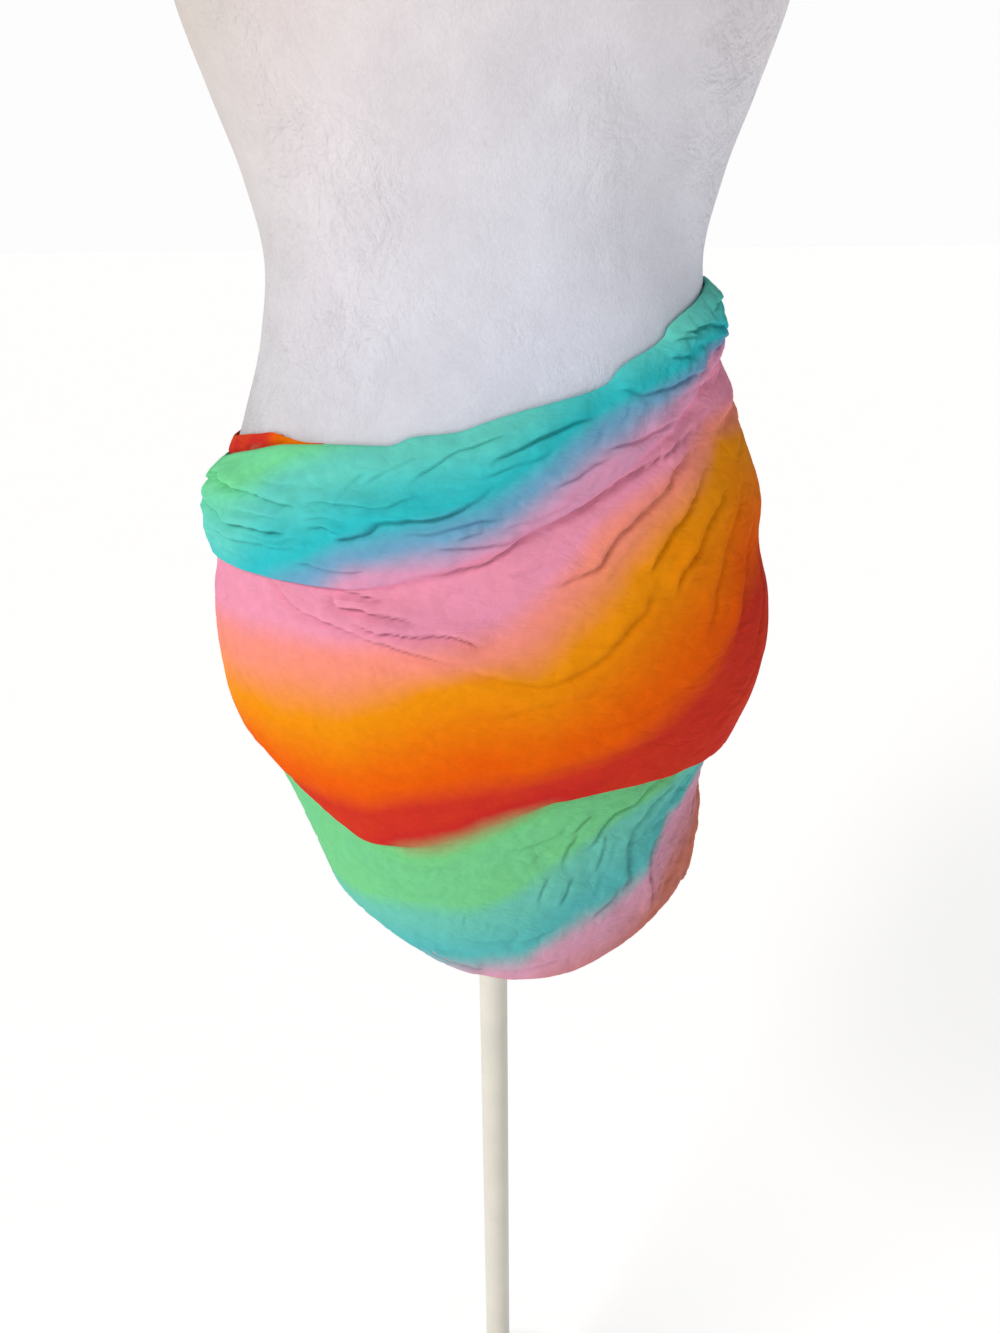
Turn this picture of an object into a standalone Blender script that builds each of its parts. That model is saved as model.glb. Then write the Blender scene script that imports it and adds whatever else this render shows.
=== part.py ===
"""A sarong wound round a limbless dress form on a round stand, in metres with +Z up.

The origin is on the floor, at the middle of the base's underside. +X is the side of the hip that
carries the knot and -Y is the front. Heights on the body are given as drops below the waist, and
places round it as angles: 0 is the front, 90 the side with the knot and 180 the back.
"""
import functools
import math
from typing import NamedTuple

import bmesh
import bpy
from mathutils import Matrix, Vector

WAIST_HEIGHT = 1.13
CLOTH = 0.0016
GAP = 0.0003
LAP = 0.0026
FADE = 0.012

BASE_RADIUS = 0.125
BASE_THICKNESS = 0.014
COLLAR_RADIUS = 0.020
COLLAR_HEIGHT = 0.024
POLE_RADIUS = 0.0105
SOCKET_RADIUS = 0.030
SOCKET_HEIGHT = 0.022
CAP_THICKNESS = 0.012
EDGE_ROUNDING = 0.003

KNOT_ANGLE = 126.0
KNOT_HALF_SIZE = (0.036, 0.0190, 0.026)
KNOT_BACK = 0.40
SEAT_GAP = 0.0004
TAIL_ROOT = 3.6
TAIL_PROUD = 0.0112
TAIL_CLEAR = 1.015


class Section(NamedTuple):
    """A level cut through the body or the cloth: an oval with its own front and back depth."""

    drop: float
    half_width: float
    front: float
    back: float
    shift: float


class Edges(NamedTuple):
    """How far below the waist each edge of the cloth lies, at one place round the body."""

    angle: float
    band_top: float
    band_foot: float
    wrap_foot: float
    hem: float
    puff: float


class Fold(NamedTuple):
    """A crease from one place to another through a middle place. A lift below 0 is a trough."""

    angle_from: float
    drop_from: float
    angle_mid: float
    drop_mid: float
    angle_to: float
    drop_to: float
    width: float
    lift: float


FORM = (
    Section(-0.455, 0.0500, 0.0480, 0.0500, 0.0),
    Section(-0.425, 0.0510, 0.0485, 0.0510, 0.0),
    Section(-0.404, 0.0600, 0.0510, 0.0560, 0.0),
    Section(-0.385, 0.0860, 0.0560, 0.0660, 0.0),
    Section(-0.362, 0.1200, 0.0640, 0.0790, 0.0),
    Section(-0.335, 0.1470, 0.0740, 0.0900, 0.0),
    Section(-0.300, 0.1590, 0.0880, 0.0990, 0.0),
    Section(-0.250, 0.1590, 0.1030, 0.1050, 0.0),
    Section(-0.200, 0.1610, 0.1160, 0.1060, 0.0006),
    Section(-0.160, 0.1605, 0.1150, 0.1030, 0.0012),
    Section(-0.120, 0.1540, 0.1030, 0.0980, 0.0012),
    Section(-0.080, 0.1415, 0.0940, 0.0930, 0.0010),
    Section(-0.040, 0.1280, 0.0880, 0.0890, 0.0005),
    Section(0.000, 0.1205, 0.0860, 0.0880, 0.0),
    Section(0.040, 0.1265, 0.0890, 0.0920, 0.0),
    Section(0.080, 0.1395, 0.0940, 0.1000, 0.0),
    Section(0.120, 0.1535, 0.0990, 0.1090, 0.0),
    Section(0.170, 0.1625, 0.1040, 0.1180, 0.0),
    Section(0.215, 0.1670, 0.1070, 0.1230, 0.0),
    Section(0.245, 0.1640, 0.1075, 0.1230, 0.0),
    Section(0.275, 0.1490, 0.1040, 0.1170, 0.0),
    Section(0.300, 0.1385, 0.1015, 0.1110, 0.0),
    Section(0.325, 0.1280, 0.1000, 0.1060, 0.0),
    Section(0.350, 0.1180, 0.0960, 0.1010, 0.0),
    Section(0.368, 0.1090, 0.0910, 0.0960, 0.0),
    Section(0.380, 0.0980, 0.0820, 0.0870, 0.0),
)

OUTER_TURN = (
    Section(0.000, 0.1228, 0.0883, 0.0903, 0.0005),
    Section(0.040, 0.1290, 0.0915, 0.0945, 0.0005),
    Section(0.080, 0.1427, 0.0970, 0.1030, 0.0010),
    Section(0.120, 0.1590, 0.1035, 0.1130, 0.0015),
    Section(0.170, 0.1688, 0.1095, 0.1240, 0.0025),
    Section(0.215, 0.1740, 0.1135, 0.1300, 0.0025),
    Section(0.245, 0.1712, 0.1145, 0.1310, 0.0020),
    Section(0.275, 0.1620, 0.1135, 0.1280, 0.0010),
    Section(0.300, 0.1500, 0.1120, 0.1240, 0.0010),
    Section(0.330, 0.1400, 0.1100, 0.1190, 0.0010),
)

INNER_TURN = (
    Section(0.250, 0.1665, 0.1105, 0.1268, 0.0020),
    Section(0.275, 0.1535, 0.1085, 0.1235, 0.0010),
    Section(0.300, 0.1440, 0.1075, 0.1185, 0.0018),
    Section(0.325, 0.1375, 0.1085, 0.1160, 0.0050),
    Section(0.350, 0.1340, 0.1120, 0.1150, 0.0104),
    Section(0.375, 0.1275, 0.1165, 0.1140, 0.0125),
    Section(0.405, 0.1200, 0.1190, 0.1120, 0.0150),
)

EDGES = (
    Edges(-180, 0.0600, 0.1220, 0.2900, 0.3920, 0.0060),
    Edges(-150, 0.0830, 0.1460, 0.2820, 0.3900, 0.0060),
    Edges(-120, 0.0980, 0.1560, 0.2720, 0.3860, 0.0068),
    Edges(-90, 0.1060, 0.1600, 0.2660, 0.3820, 0.0072),
    Edges(-60, 0.0950, 0.1590, 0.2720, 0.3800, 0.0070),
    Edges(-45, 0.0890, 0.1590, 0.3020, 0.3840, 0.0062),
    Edges(-30, 0.0855, 0.1595, 0.3210, 0.3925, 0.0055),
    Edges(-15, 0.0815, 0.1530, 0.3160, 0.4005, 0.0050),
    Edges(0, 0.0730, 0.1380, 0.3000, 0.4040, 0.0045),
    Edges(15, 0.0640, 0.1180, 0.2860, 0.4025, 0.0040),
    Edges(30, 0.0525, 0.0960, 0.2820, 0.3960, 0.0040),
    Edges(60, 0.0265, 0.0560, 0.2840, 0.3820, 0.0045),
    Edges(90, 0.0100, 0.0460, 0.2860, 0.3840, 0.0045),
    Edges(120, 0.0140, 0.0560, 0.2900, 0.3880, 0.0030),
    Edges(150, 0.0340, 0.0880, 0.2930, 0.3910, 0.0050),
)

BAND_FOLDS = (
    Fold(-55, 0.112, -22, 0.116, 36, 0.063, 0.0055, -0.0032),
    Fold(-62, 0.133, -40, 0.132, -22, 0.129, 0.0055, -0.0030),
    Fold(-26, 0.142, -8, 0.130, 16, 0.108, 0.0060, -0.0030),
    Fold(-84, 0.120, -68, 0.123, -52, 0.124, 0.0070, 0.0022),
    Fold(36, 0.064, 58, 0.038, 88, 0.024, 0.0050, -0.0030),
    Fold(44, 0.068, 66, 0.047, 94, 0.036, 0.0050, -0.0028),
    Fold(150, 0.050, 182, 0.085, 214, 0.112, 0.0065, -0.0030),
    Fold(160, 0.078, 196, 0.110, 232, 0.132, 0.0065, -0.0028),
    Fold(206, 0.098, 232, 0.116, 262, 0.124, 0.0060, -0.0026),
)

WRAP_FOLDS = (
    Fold(-60, 0.178, -20, 0.196, 14, 0.208, 0.0080, -0.0034),
    Fold(-52, 0.166, -22, 0.185, 10, 0.190, 0.0090, 0.0040),
    Fold(14, 0.208, 29, 0.176, 56, 0.092, 0.0085, -0.0034),
    Fold(10, 0.190, 25, 0.160, 54, 0.080, 0.0090, 0.0042),
    Fold(-10, 0.162, 12, 0.148, 40, 0.102, 0.0070, -0.0030),
    Fold(22, 0.190, 36, 0.148, 60, 0.084, 0.0075, 0.0036),
    Fold(32, 0.176, 42, 0.140, 66, 0.078, 0.0070, -0.0032),
    Fold(39, 0.176, 52, 0.128, 74, 0.076, 0.0080, 0.0042),
    Fold(48, 0.190, 60, 0.142, 82, 0.074, 0.0075, -0.0034),
    Fold(62, 0.205, 74, 0.140, 92, 0.072, 0.0090, 0.0038),
    Fold(86, 0.215, 94, 0.140, 104, 0.076, 0.0090, -0.0030),
    Fold(108, 0.225, 112, 0.145, 116, 0.082, 0.0095, 0.0040),
    Fold(176, 0.185, 154, 0.138, 138, 0.092, 0.0085, 0.0042),
    Fold(192, 0.206, 166, 0.160, 144, 0.098, 0.0080, -0.0032),
    Fold(214, 0.222, 180, 0.190, 146, 0.112, 0.0090, 0.0040),
    Fold(196, 0.242, 164, 0.200, 138, 0.112, 0.0080, -0.0032),
    Fold(170, 0.250, 150, 0.200, 132, 0.106, 0.0090, 0.0038),
    Fold(146, 0.250, 136, 0.180, 126, 0.096, 0.0085, -0.0030),
    Fold(-58, 0.262, -30, 0.300, 0, 0.288, 0.0080, 0.0026),
    Fold(-96, 0.180, -84, 0.218, -66, 0.252, 0.0085, -0.0026),
    Fold(54, 0.152, 76, 0.138, 104, 0.128, 0.0095, -0.0042),
    Fold(60, 0.076, 80, 0.066, 106, 0.064, 0.0100, 0.0060),
)

LOWER_FOLDS = (
    Fold(46, 0.325, 42, 0.350, 43, 0.378, 0.0060, 0.0032),
    Fold(12, 0.340, 26, 0.314, 44, 0.292, 0.0065, -0.0024),
    Fold(22, 0.345, 34, 0.322, 48, 0.298, 0.0065, 0.0026),
    Fold(96, 0.378, 90, 0.340, 86, 0.300, 0.0080, 0.0030),
    Fold(124, 0.374, 120, 0.340, 116, 0.300, 0.0080, -0.0024),
    Fold(150, 0.380, 146, 0.345, 142, 0.300, 0.0085, 0.0030),
    Fold(186, 0.382, 182, 0.345, 178, 0.300, 0.0080, -0.0024),
    Fold(216, 0.378, 214, 0.340, 210, 0.296, 0.0085, 0.0028),
    Fold(-110, 0.370, -106, 0.330, -104, 0.290, 0.0080, -0.0022),
)


def blend(rows, at):
    """The row of a table at any value of its first column, on a curve with no overshoot."""
    if at <= rows[0][0]:
        return rows[0]
    if at >= rows[-1][0]:
        return rows[-1]
    low = max(index for index, row in enumerate(rows) if row[0] <= at)
    low = min(low, len(rows) - 2)
    span = rows[low + 1][0] - rows[low][0]
    part = (at - rows[low][0]) / span

    def slope(index, column):
        """The curve's slope at a row: none where the column turns back."""
        if index in (0, len(rows) - 1):
            return 0.0
        before = (rows[index][column] - rows[index - 1][column]) / (rows[index][0] - rows[index - 1][0])
        after = (rows[index + 1][column] - rows[index][column]) / (rows[index + 1][0] - rows[index][0])
        return 2 * before * after / (before + after) if before * after > 0 else 0.0

    def value(column):
        """One column on a cubic between the two rows."""
        start, end = rows[low][column], rows[low + 1][column]
        lean_start, lean_end = slope(low, column) * span, slope(low + 1, column) * span
        square, cube = part**2, part**3
        return (
            start * (2 * cube - 3 * square + 1)
            + end * (3 * square - 2 * cube)
            + lean_start * (cube - 2 * square + part)
            + lean_end * (cube - square)
        )

    return type(rows[0])(at, *(value(column) for column in range(1, len(rows[0]))))


def round_table(rows):
    """A table by angle, carried past both its ends so that it closes on itself."""
    before = [row._replace(angle=row.angle - 360) for row in rows[-3:]]
    after = [row._replace(angle=row.angle + 360) for row in rows[:3]]
    return (*before, *rows, *after)


EDGES_ROUND = round_table(EDGES)


def edges_at(angle):
    """The edges' drops at any angle."""
    return blend(EDGES_ROUND, (angle + 180) % 360 - 180)


def point_on(sections, angle, drop, proud=0.0):
    """A point on a surface of sections, moved outwards by proud."""
    cut = blend(sections, drop)
    turn = math.radians(angle)
    depth = cut.front if math.cos(turn) > 0 else cut.back
    x = cut.shift + (cut.half_width + proud) * math.sin(turn)
    y = -(depth + proud) * math.cos(turn)
    return Vector((x, y, WAIST_HEIGHT - drop))


def fold_path(fold, steps=14):
    """Points along a fold as pairs of angle and drop, on a curve through its middle place."""
    angle_pull = 2 * fold.angle_mid - (fold.angle_from + fold.angle_to) / 2
    drop_pull = 2 * fold.drop_mid - (fold.drop_from + fold.drop_to) / 2
    path = []
    for step in range(steps + 1):
        t = step / steps
        ahead, behind = t * t, (1 - t) ** 2
        middle = 2 * t * (1 - t)
        angle = behind * fold.angle_from + middle * angle_pull + ahead * fold.angle_to
        drop = behind * fold.drop_from + middle * drop_pull + ahead * fold.drop_to
        path.append((angle, drop))
    return path


def fold_lift(folds, angle, drop):
    """How far the folds raise the cloth at a place. Each one dies away towards its ends."""
    metres_per_degree = math.radians(blend(OUTER_TURN, drop).half_width * 0.85)
    lift = 0.0
    for fold in folds:
        path = fold_path(fold)
        nearest, along = 1.0, 0.0
        for step, (path_angle, path_drop) in enumerate(path):
            across = ((angle - path_angle + 180) % 360 - 180) * metres_per_degree
            distance = math.hypot(across, drop - path_drop)
            if distance < nearest:
                nearest, along = distance, step / (len(path) - 1)
        strength = math.sin(math.pi * min(max(along, 0.06), 0.94)) ** 0.5
        lift += fold.lift * strength * math.exp(-((nearest / fold.width) ** 2))
    return lift


def finish(name, red, green, blue, roughness, metallic=0.0):
    """A plain material."""
    material = bpy.data.materials.new(name)
    material.use_nodes = True
    shader = material.node_tree.nodes["Principled BSDF"]
    shader.inputs["Base Color"].default_value = (red, green, blue, 1.0)
    shader.inputs["Roughness"].default_value = roughness
    shader.inputs["Metallic"].default_value = metallic
    return material


def add_object(name, shape, material, smooth=True):
    """Puts a finished bmesh into the scene as a named object."""
    mesh = bpy.data.meshes.new(name)
    shape.to_mesh(mesh)
    shape.free()
    mesh.materials.append(material)
    if smooth:
        mesh.shade_smooth()
        mesh.set_sharp_from_angle(angle=math.radians(40))
    made = bpy.data.objects.new(name, mesh)
    bpy.context.scene.collection.objects.link(made)
    return made


def face_outwards(shape):
    """Turns an open sheet so that its faces look away from the body's axis."""
    facing = sum(face.normal.dot(face.calc_center_median() * Vector((1, 1, 0))) for face in shape.faces)
    if facing < 0:
        bmesh.ops.reverse_faces(shape, faces=shape.faces)


def close_outwards(shape):
    """Fills what is open and turns every face of the closed shape outwards."""
    open_edges = [edge for edge in shape.edges if edge.is_boundary]
    if open_edges:
        bmesh.ops.holes_fill(shape, edges=open_edges)
    shape.normal_update()
    bmesh.ops.recalc_face_normals(shape, faces=shape.faces)


def sheet(columns, rows, place):
    """A grid of columns and rows laid out by place(across, down), each from 0 to 1."""
    shape = bmesh.new()
    bmesh.ops.create_grid(shape, x_segments=columns, y_segments=rows, size=0.5)
    for vertex in shape.verts:
        vertex.co = place(vertex.co.x + 0.5, 0.5 - vertex.co.y)
    bmesh.ops.remove_doubles(shape, verts=shape.verts, dist=1e-6)
    shape.normal_update()
    face_outwards(shape)
    return shape


def give_wall(made, thickness=CLOTH):
    """Gives a sheet of cloth its thickness, on its inner side."""
    wall = made.modifiers.new("wall", "SOLIDIFY")
    wall.thickness = thickness
    wall.offset = -1.0
    return made


def build_torso(material):
    """The padded torso, closed by a level cut at the neck and at the bottom."""
    top, bottom = FORM[0].drop, FORM[-1].drop

    def place(across, down):
        return point_on(FORM, 360 * across - 180, top + (bottom - top) * down)

    shape = sheet(32, 25, place)
    close_outwards(shape)
    return add_object("form_torso", shape, material)


def build_disc(name, material, radius, thickness, underside, rounding=EDGE_ROUNDING, sides=32):
    """A round plate or rod, upright, with its underside at a given height."""
    shape = bmesh.new()
    middle = Matrix.Translation((0, 0, underside + thickness / 2))
    bmesh.ops.create_cone(
        shape, cap_ends=True, segments=sides, radius1=radius, radius2=radius, depth=thickness, matrix=middle
    )
    if rounding:
        top = underside + thickness
        rim = [edge for edge in shape.edges if all(abs(vertex.co.z - top) < 1e-6 for vertex in edge.verts)]
        bmesh.ops.bevel(shape, geom=rim, offset=rounding, segments=3, profile=0.5, affect="EDGES", material=-1)
    return add_object(name, shape, material)


def build_stand(form_material, stand_material):
    """What carries the torso: cap, socket, pole and base, each resting on the next."""
    torso_top = WAIST_HEIGHT - FORM[0].drop
    torso_foot = WAIST_HEIGHT - FORM[-1].drop
    build_disc("form_neck_cap", stand_material, FORM[0].front, CAP_THICKNESS, torso_top + GAP)
    socket_foot = torso_foot - GAP - SOCKET_HEIGHT
    build_disc("form_socket", stand_material, SOCKET_RADIUS, SOCKET_HEIGHT, socket_foot, rounding=0.0)
    collar_top = BASE_THICKNESS + COLLAR_HEIGHT
    pole_foot = collar_top + GAP
    pole_length = socket_foot - GAP - pole_foot
    build_disc("stand_pole", stand_material, POLE_RADIUS, pole_length, pole_foot, rounding=0.0, sides=24)
    profile = ((BASE_RADIUS, 0.0), (BASE_RADIUS, BASE_THICKNESS - EDGE_ROUNDING))
    profile += ((BASE_RADIUS - EDGE_ROUNDING, BASE_THICKNESS), (COLLAR_RADIUS, BASE_THICKNESS))
    profile += ((COLLAR_RADIUS, collar_top),)
    shape = bmesh.new()
    corners = [shape.verts.new((radius, 0, height)) for radius, height in profile]
    outline = [shape.edges.new(pair) for pair in zip(corners, corners[1:])]
    bmesh.ops.spin(
        shape, geom=corners + outline, cent=(0, 0, 0), axis=(0, 0, 1), angle=math.tau, steps=48, use_merge=True
    )
    bmesh.ops.remove_doubles(shape, verts=shape.verts, dist=1e-6)
    close_outwards(shape)
    add_object("stand_base", shape, stand_material)


def build_lower_wrap(material):
    """The lowest turn: it starts hidden under the turn above and ends at the hem."""

    def place(across, down):
        angle = 360 * across - 180
        edges = edges_at(angle)
        top = edges.wrap_foot - 0.016
        drop = top + (edges.hem - top) * down
        shown = min(max((drop - edges.wrap_foot) / FADE, 0.0), 1.0)
        return point_on(INNER_TURN, angle, drop, shown * fold_lift(LOWER_FOLDS, angle, drop))

    return give_wall(add_object("wrap_lower", sheet(60, 7, place), material))


def build_hip_wrap(material):
    """The outer turn over the hips. Its folds run up to the knot."""

    def place(across, down):
        angle = 360 * across - 180
        edges = edges_at(angle)
        top = edges.band_foot - 0.010
        drop = top + (edges.wrap_foot - top) * down
        shown = min(max((drop - edges.band_foot) / FADE, 0.0), 1.0)
        return point_on(OUTER_TURN, angle, drop, shown * fold_lift(WRAP_FOLDS, angle, drop))

    return give_wall(add_object("wrap_hip", sheet(72, 15, place), material))


def band_place(angle, down):
    """The drop and the standing-out of the folded band, from its top edge (0) to its foot (1)."""
    edges = edges_at(angle)
    drop = edges.band_top + (edges.band_foot - edges.band_top) * down
    arch = math.sin(math.pi * down) ** 0.7
    return drop, LAP + arch * (edges.puff + fold_lift(BAND_FOLDS, angle, drop))


def build_waist_fold(material):
    """The top of the cloth, folded over into a soft band that stands out between its two edges."""

    def place(across, down):
        angle = 360 * across - 180
        return point_on(OUTER_TURN, angle, *band_place(angle, down))

    return give_wall(add_object("waist_fold", sheet(72, 8, place), material))


def build_inner_turn(material):
    """The edge of the first turn, which shows above the band from the front round to the back."""
    start, end = -36.0, -196.0
    tuck = 0.014

    def place(across, down):
        angle = start + (end - start) * across
        shown = 0.010 * math.sin(math.pi * across) ** 0.6
        top = edges_at(angle).band_top - shown
        return point_on(FORM, angle, top + (shown + tuck) * down, CLOTH + 0.0005)

    return give_wall(add_object("inner_turn", sheet(24, 3, place), material))


def knot_girth(length, turn):
    """How thick the knot is at a length of -1 to 1 along it: a belt of cloth between two necks."""
    belt = 1 + 0.16 * math.exp(-((length / 0.34) ** 2))
    neck = 0.10 * math.exp(-(((abs(length) - 0.62) / 0.16) ** 2))
    return (belt - neck) * (1 + 0.05 * math.cos(9 * turn) * abs(length))


@functools.lru_cache
def knot_middle():
    """Where the knot's middle lies: its drop, how far it stands out and the metres in a degree."""
    half_length, half_depth, half_height = KNOT_HALF_SIZE
    edges = edges_at(KNOT_ANGLE)
    drop = (edges.band_top + edges.band_foot) / 2
    here = point_on(OUTER_TURN, KNOT_ANGLE - 5, drop, LAP)
    there = point_on(OUTER_TURN, KNOT_ANGLE + 5, drop, LAP)
    per_degree = (there - here).length / 10
    proud = LAP
    for step in range(-18, 19, 2):
        for down in range(1, 10):
            band_drop, band_proud = band_place(KNOT_ANGLE + step, down / 10)
            length = step * per_degree / half_length
            height = (drop - band_drop) / half_height
            left = 1 - length**2 - height**2
            if left > 0:
                girth = knot_girth(length, math.atan2(height, 0))
                proud = max(proud, band_proud + KNOT_BACK * half_depth * girth * math.sqrt(left))
    return drop, proud + SEAT_GAP, per_degree


def clear_of_knot(angle, drop, proud):
    """How many times further out a place lies than the knot's surface. 1 is on the surface."""
    middle_drop, middle_proud, per_degree = knot_middle()
    half_length, half_depth, half_height = KNOT_HALF_SIZE
    length = (angle - KNOT_ANGLE) * per_degree / half_length
    depth = (proud - middle_proud) / half_depth
    depth = depth / KNOT_BACK if depth < 0 else depth
    height = (middle_drop - drop) / half_height
    girth = knot_girth(length, math.atan2(height, depth))
    return math.sqrt(length**2 + (depth**2 + height**2) / girth**2)


def build_knot(material):
    """The knot: a rounded lump that follows the band, with a turn of cloth drawn round its waist."""
    middle_drop, middle_proud, per_degree = knot_middle()
    half_length, half_depth, half_height = KNOT_HALF_SIZE
    shape = bmesh.new()
    bmesh.ops.create_uvsphere(shape, u_segments=20, v_segments=12, radius=1.0)
    bmesh.ops.rotate(shape, verts=shape.verts, cent=(0, 0, 0), matrix=Matrix.Rotation(math.pi / 2, 3, "Y"))
    for vertex in shape.verts:
        length, depth, height = vertex.co
        girth = knot_girth(length, math.atan2(height, depth))
        flat = KNOT_BACK if depth < 0 else 1.0
        angle = KNOT_ANGLE + length * half_length / per_degree
        drop = middle_drop - height * half_height * girth
        vertex.co = point_on(OUTER_TURN, angle, drop, middle_proud + depth * flat * half_depth * girth)
    close_outwards(shape)
    return add_object("hip_knot", shape, material)


def build_tail(name, material, angle_top, angle_end, length, half_spread):
    """One short end of the cloth. It hangs from the knot, pleated at the top and open below."""

    def route(top, across, down):
        """The angle, drop and standing-out of a place on the tail."""
        side = 2 * across - 1
        spread = TAIL_ROOT + (half_spread - TAIL_ROOT) * down**0.8
        angle = angle_top + (angle_end - angle_top) * down + spread * side
        pleats = math.cos(3 * math.pi * side) * (0.0024 + 0.0010 * down)
        return angle, top + length * down + 0.006 * side * down, TAIL_PROUD + pleats

    top = edges_at(KNOT_ANGLE).band_foot
    while min(clear_of_knot(*route(top, step / 8, 0.0)) for step in range(9)) < TAIL_CLEAR:
        top += 0.0002

    def place(across, down):
        return point_on(OUTER_TURN, *route(top, across, down))

    return give_wall(add_object(name, sheet(14, 6, place), material))


def build():
    """Clears the scene and builds every piece."""
    for old in list(bpy.data.objects):
        bpy.data.objects.remove(old, do_unlink=True)
    knit = finish("white_knit", 0.80, 0.78, 0.77, 0.95)
    enamel = finish("cream_enamel", 0.82, 0.78, 0.66, 0.45)
    build_torso(knit)
    build_stand(knit, enamel)
    build_lower_wrap(finish("lower_green", 0.30, 0.80, 0.45, 0.85))
    build_hip_wrap(finish("hip_orange", 0.90, 0.38, 0.12, 0.85))
    build_waist_fold(finish("band_teal", 0.20, 0.72, 0.62, 0.85))
    build_inner_turn(finish("first_turn_red", 0.85, 0.20, 0.10, 0.85))
    knot = finish("knot_pink", 0.85, 0.42, 0.55, 0.85)
    build_knot(knot)
    build_tail("tie_tail_front", knot, 121.0, 115.0, 0.100, 10.0)
    build_tail("tie_tail_back", knot, 131.0, 138.0, 0.130, 9.5)


build()
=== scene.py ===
"""The looks of a crinkled, dip-dyed sarong worn by a limbless dress form on a round stand.

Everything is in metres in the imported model's frame: the origin is on the floor under the pole, +X
is the hip with the knot and -Y is the front. Places on the body are given by an angle round it
(0 is the front, 90 the side with the knot, 180 the back), a drop below the waist, and how proud
of the body a layer stands.
"""
from __future__ import annotations

import enum
import itertools
import logging
import math
from collections.abc import Callable, Sequence
from dataclasses import dataclass, field
from typing import NamedTuple

import bmesh
import bpy
import numpy as np
from mathutils import Matrix, Vector, noise


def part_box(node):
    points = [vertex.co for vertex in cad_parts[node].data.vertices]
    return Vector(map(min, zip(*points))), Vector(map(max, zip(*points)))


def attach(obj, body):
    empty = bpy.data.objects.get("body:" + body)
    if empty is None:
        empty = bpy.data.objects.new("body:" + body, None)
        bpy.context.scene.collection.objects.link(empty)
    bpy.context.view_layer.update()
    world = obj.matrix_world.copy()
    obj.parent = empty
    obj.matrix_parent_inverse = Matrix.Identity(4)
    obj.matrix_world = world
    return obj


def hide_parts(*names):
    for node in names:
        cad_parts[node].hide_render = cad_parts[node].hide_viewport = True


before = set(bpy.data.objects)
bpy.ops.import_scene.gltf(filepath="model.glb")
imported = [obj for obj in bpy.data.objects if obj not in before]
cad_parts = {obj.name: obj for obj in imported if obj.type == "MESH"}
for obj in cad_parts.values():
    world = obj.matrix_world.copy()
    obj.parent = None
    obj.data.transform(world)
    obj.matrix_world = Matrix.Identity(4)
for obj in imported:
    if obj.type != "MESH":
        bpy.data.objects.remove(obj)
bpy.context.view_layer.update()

LOG = logging.getLogger("sarong")

MM = 0.001
BODY = "root"
WELD = 1e-6
WHITE = (1.0, 1.0, 1.0)

# The waist over the floor, the walls of the cloth and of its first turn, and how proud the band lies.
WAIST_HEIGHT = 1.13
CLOTH_WALL = 0.9 * MM
TURN_WALL = 0.8 * MM
LAP = 2.6 * MM

# The way round the hips, and a middling radius there with how far a stray field strays.
HIP_GIRTH = 1.04
BODY_RADIUS = 0.15
STRAY_RANGE = 0.7

# The last dye's number, each stretch's first, how near it keeps to its own, and how softly two meet.
DYE_STEPS = 13.0
BAND_FIRST, HIP_FIRST, LOWER_FIRST = 0, 4, 9
DYE_MARGIN = 0.15
DYE_SOFTNESS = 0.6

# Folds wider than this, in millimetres, are broad and soft.
WIDE_FOLD = 6.4

Numbers = np.ndarray | float
Pair = tuple[float, float]
Triple = tuple[float, float, float]
Colour = Triple
Socket = bpy.types.NodeSocket


class Finish(enum.Enum):
    """The record's material slots, by what they finish."""

    CLOTH = "sarong_cloth"
    KNIT = "form_knit"
    ENAMEL = "stand_enamel"


class Crease(NamedTuple):
    """A fold's line, from left to right, as places of angle in degrees and drop in millimetres.

    The cloth above the line swells and the line itself is cut in; width is how far the swell reaches.
    """

    path: tuple[Pair, ...]
    width: float
    swell: float
    cut: float
    fade: Pair = (0.25, 0.25)


@dataclass(frozen=True)
class FoldShape:
    """A fold's shape across its line, in shares of its width, and how much it strays in length and height."""

    lip_at: float = -0.35
    near_slope: float = 0.34
    far_slope: float = 1.15
    second_lip: float = 0.42
    second_at: float = 0.85
    second_slope: float = 0.55
    swell_gain: float = 1.25
    cut_gain: float = 0.8
    line_base: float = 0.45 * MM
    line_share: float = 0.10
    wide_line_share: float = 0.20
    # How much painted shade a fold's line gets: less on wide folds, and full at a cut this deep in
    # millimetres.
    wide_fold_shade: float = 0.6
    full_cut: float = 2.6
    mean_radius: float = 0.85
    reach: float = 3.0
    degree: float = 2.2
    unevenness: float = 0.55
    wide_bend: float = 2.4 * MM
    tight_bend: float = 1.1 * MM


FOLD = FoldShape()


class Laid(NamedTuple):
    """A sheet's points, the dye each one takes, where it lies on the flat cloth and the painted shade along
    its folds.
    """

    points: np.ndarray
    dye: np.ndarray
    flat: np.ndarray
    crease_shade: np.ndarray


class Ring(NamedTuple):
    """What is known of places round the body: their angles and the edges, puff, folds and seat there."""

    angle: np.ndarray
    top: np.ndarray
    foot: np.ndarray
    tuck: np.ndarray
    hem: np.ndarray
    puff: np.ndarray
    foot_crisp: np.ndarray
    tuck_crisp: np.ndarray
    seat: np.ndarray


class Strip(NamedTuple):
    """Rows of the wound cloth: where each place lies, its share on the inner turn from 0 to 1, its dye and
    its painted crease shade.
    """

    drop: np.ndarray
    proud: np.ndarray
    inner: np.ndarray
    dye: np.ndarray
    crease_shade: np.ndarray


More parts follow.
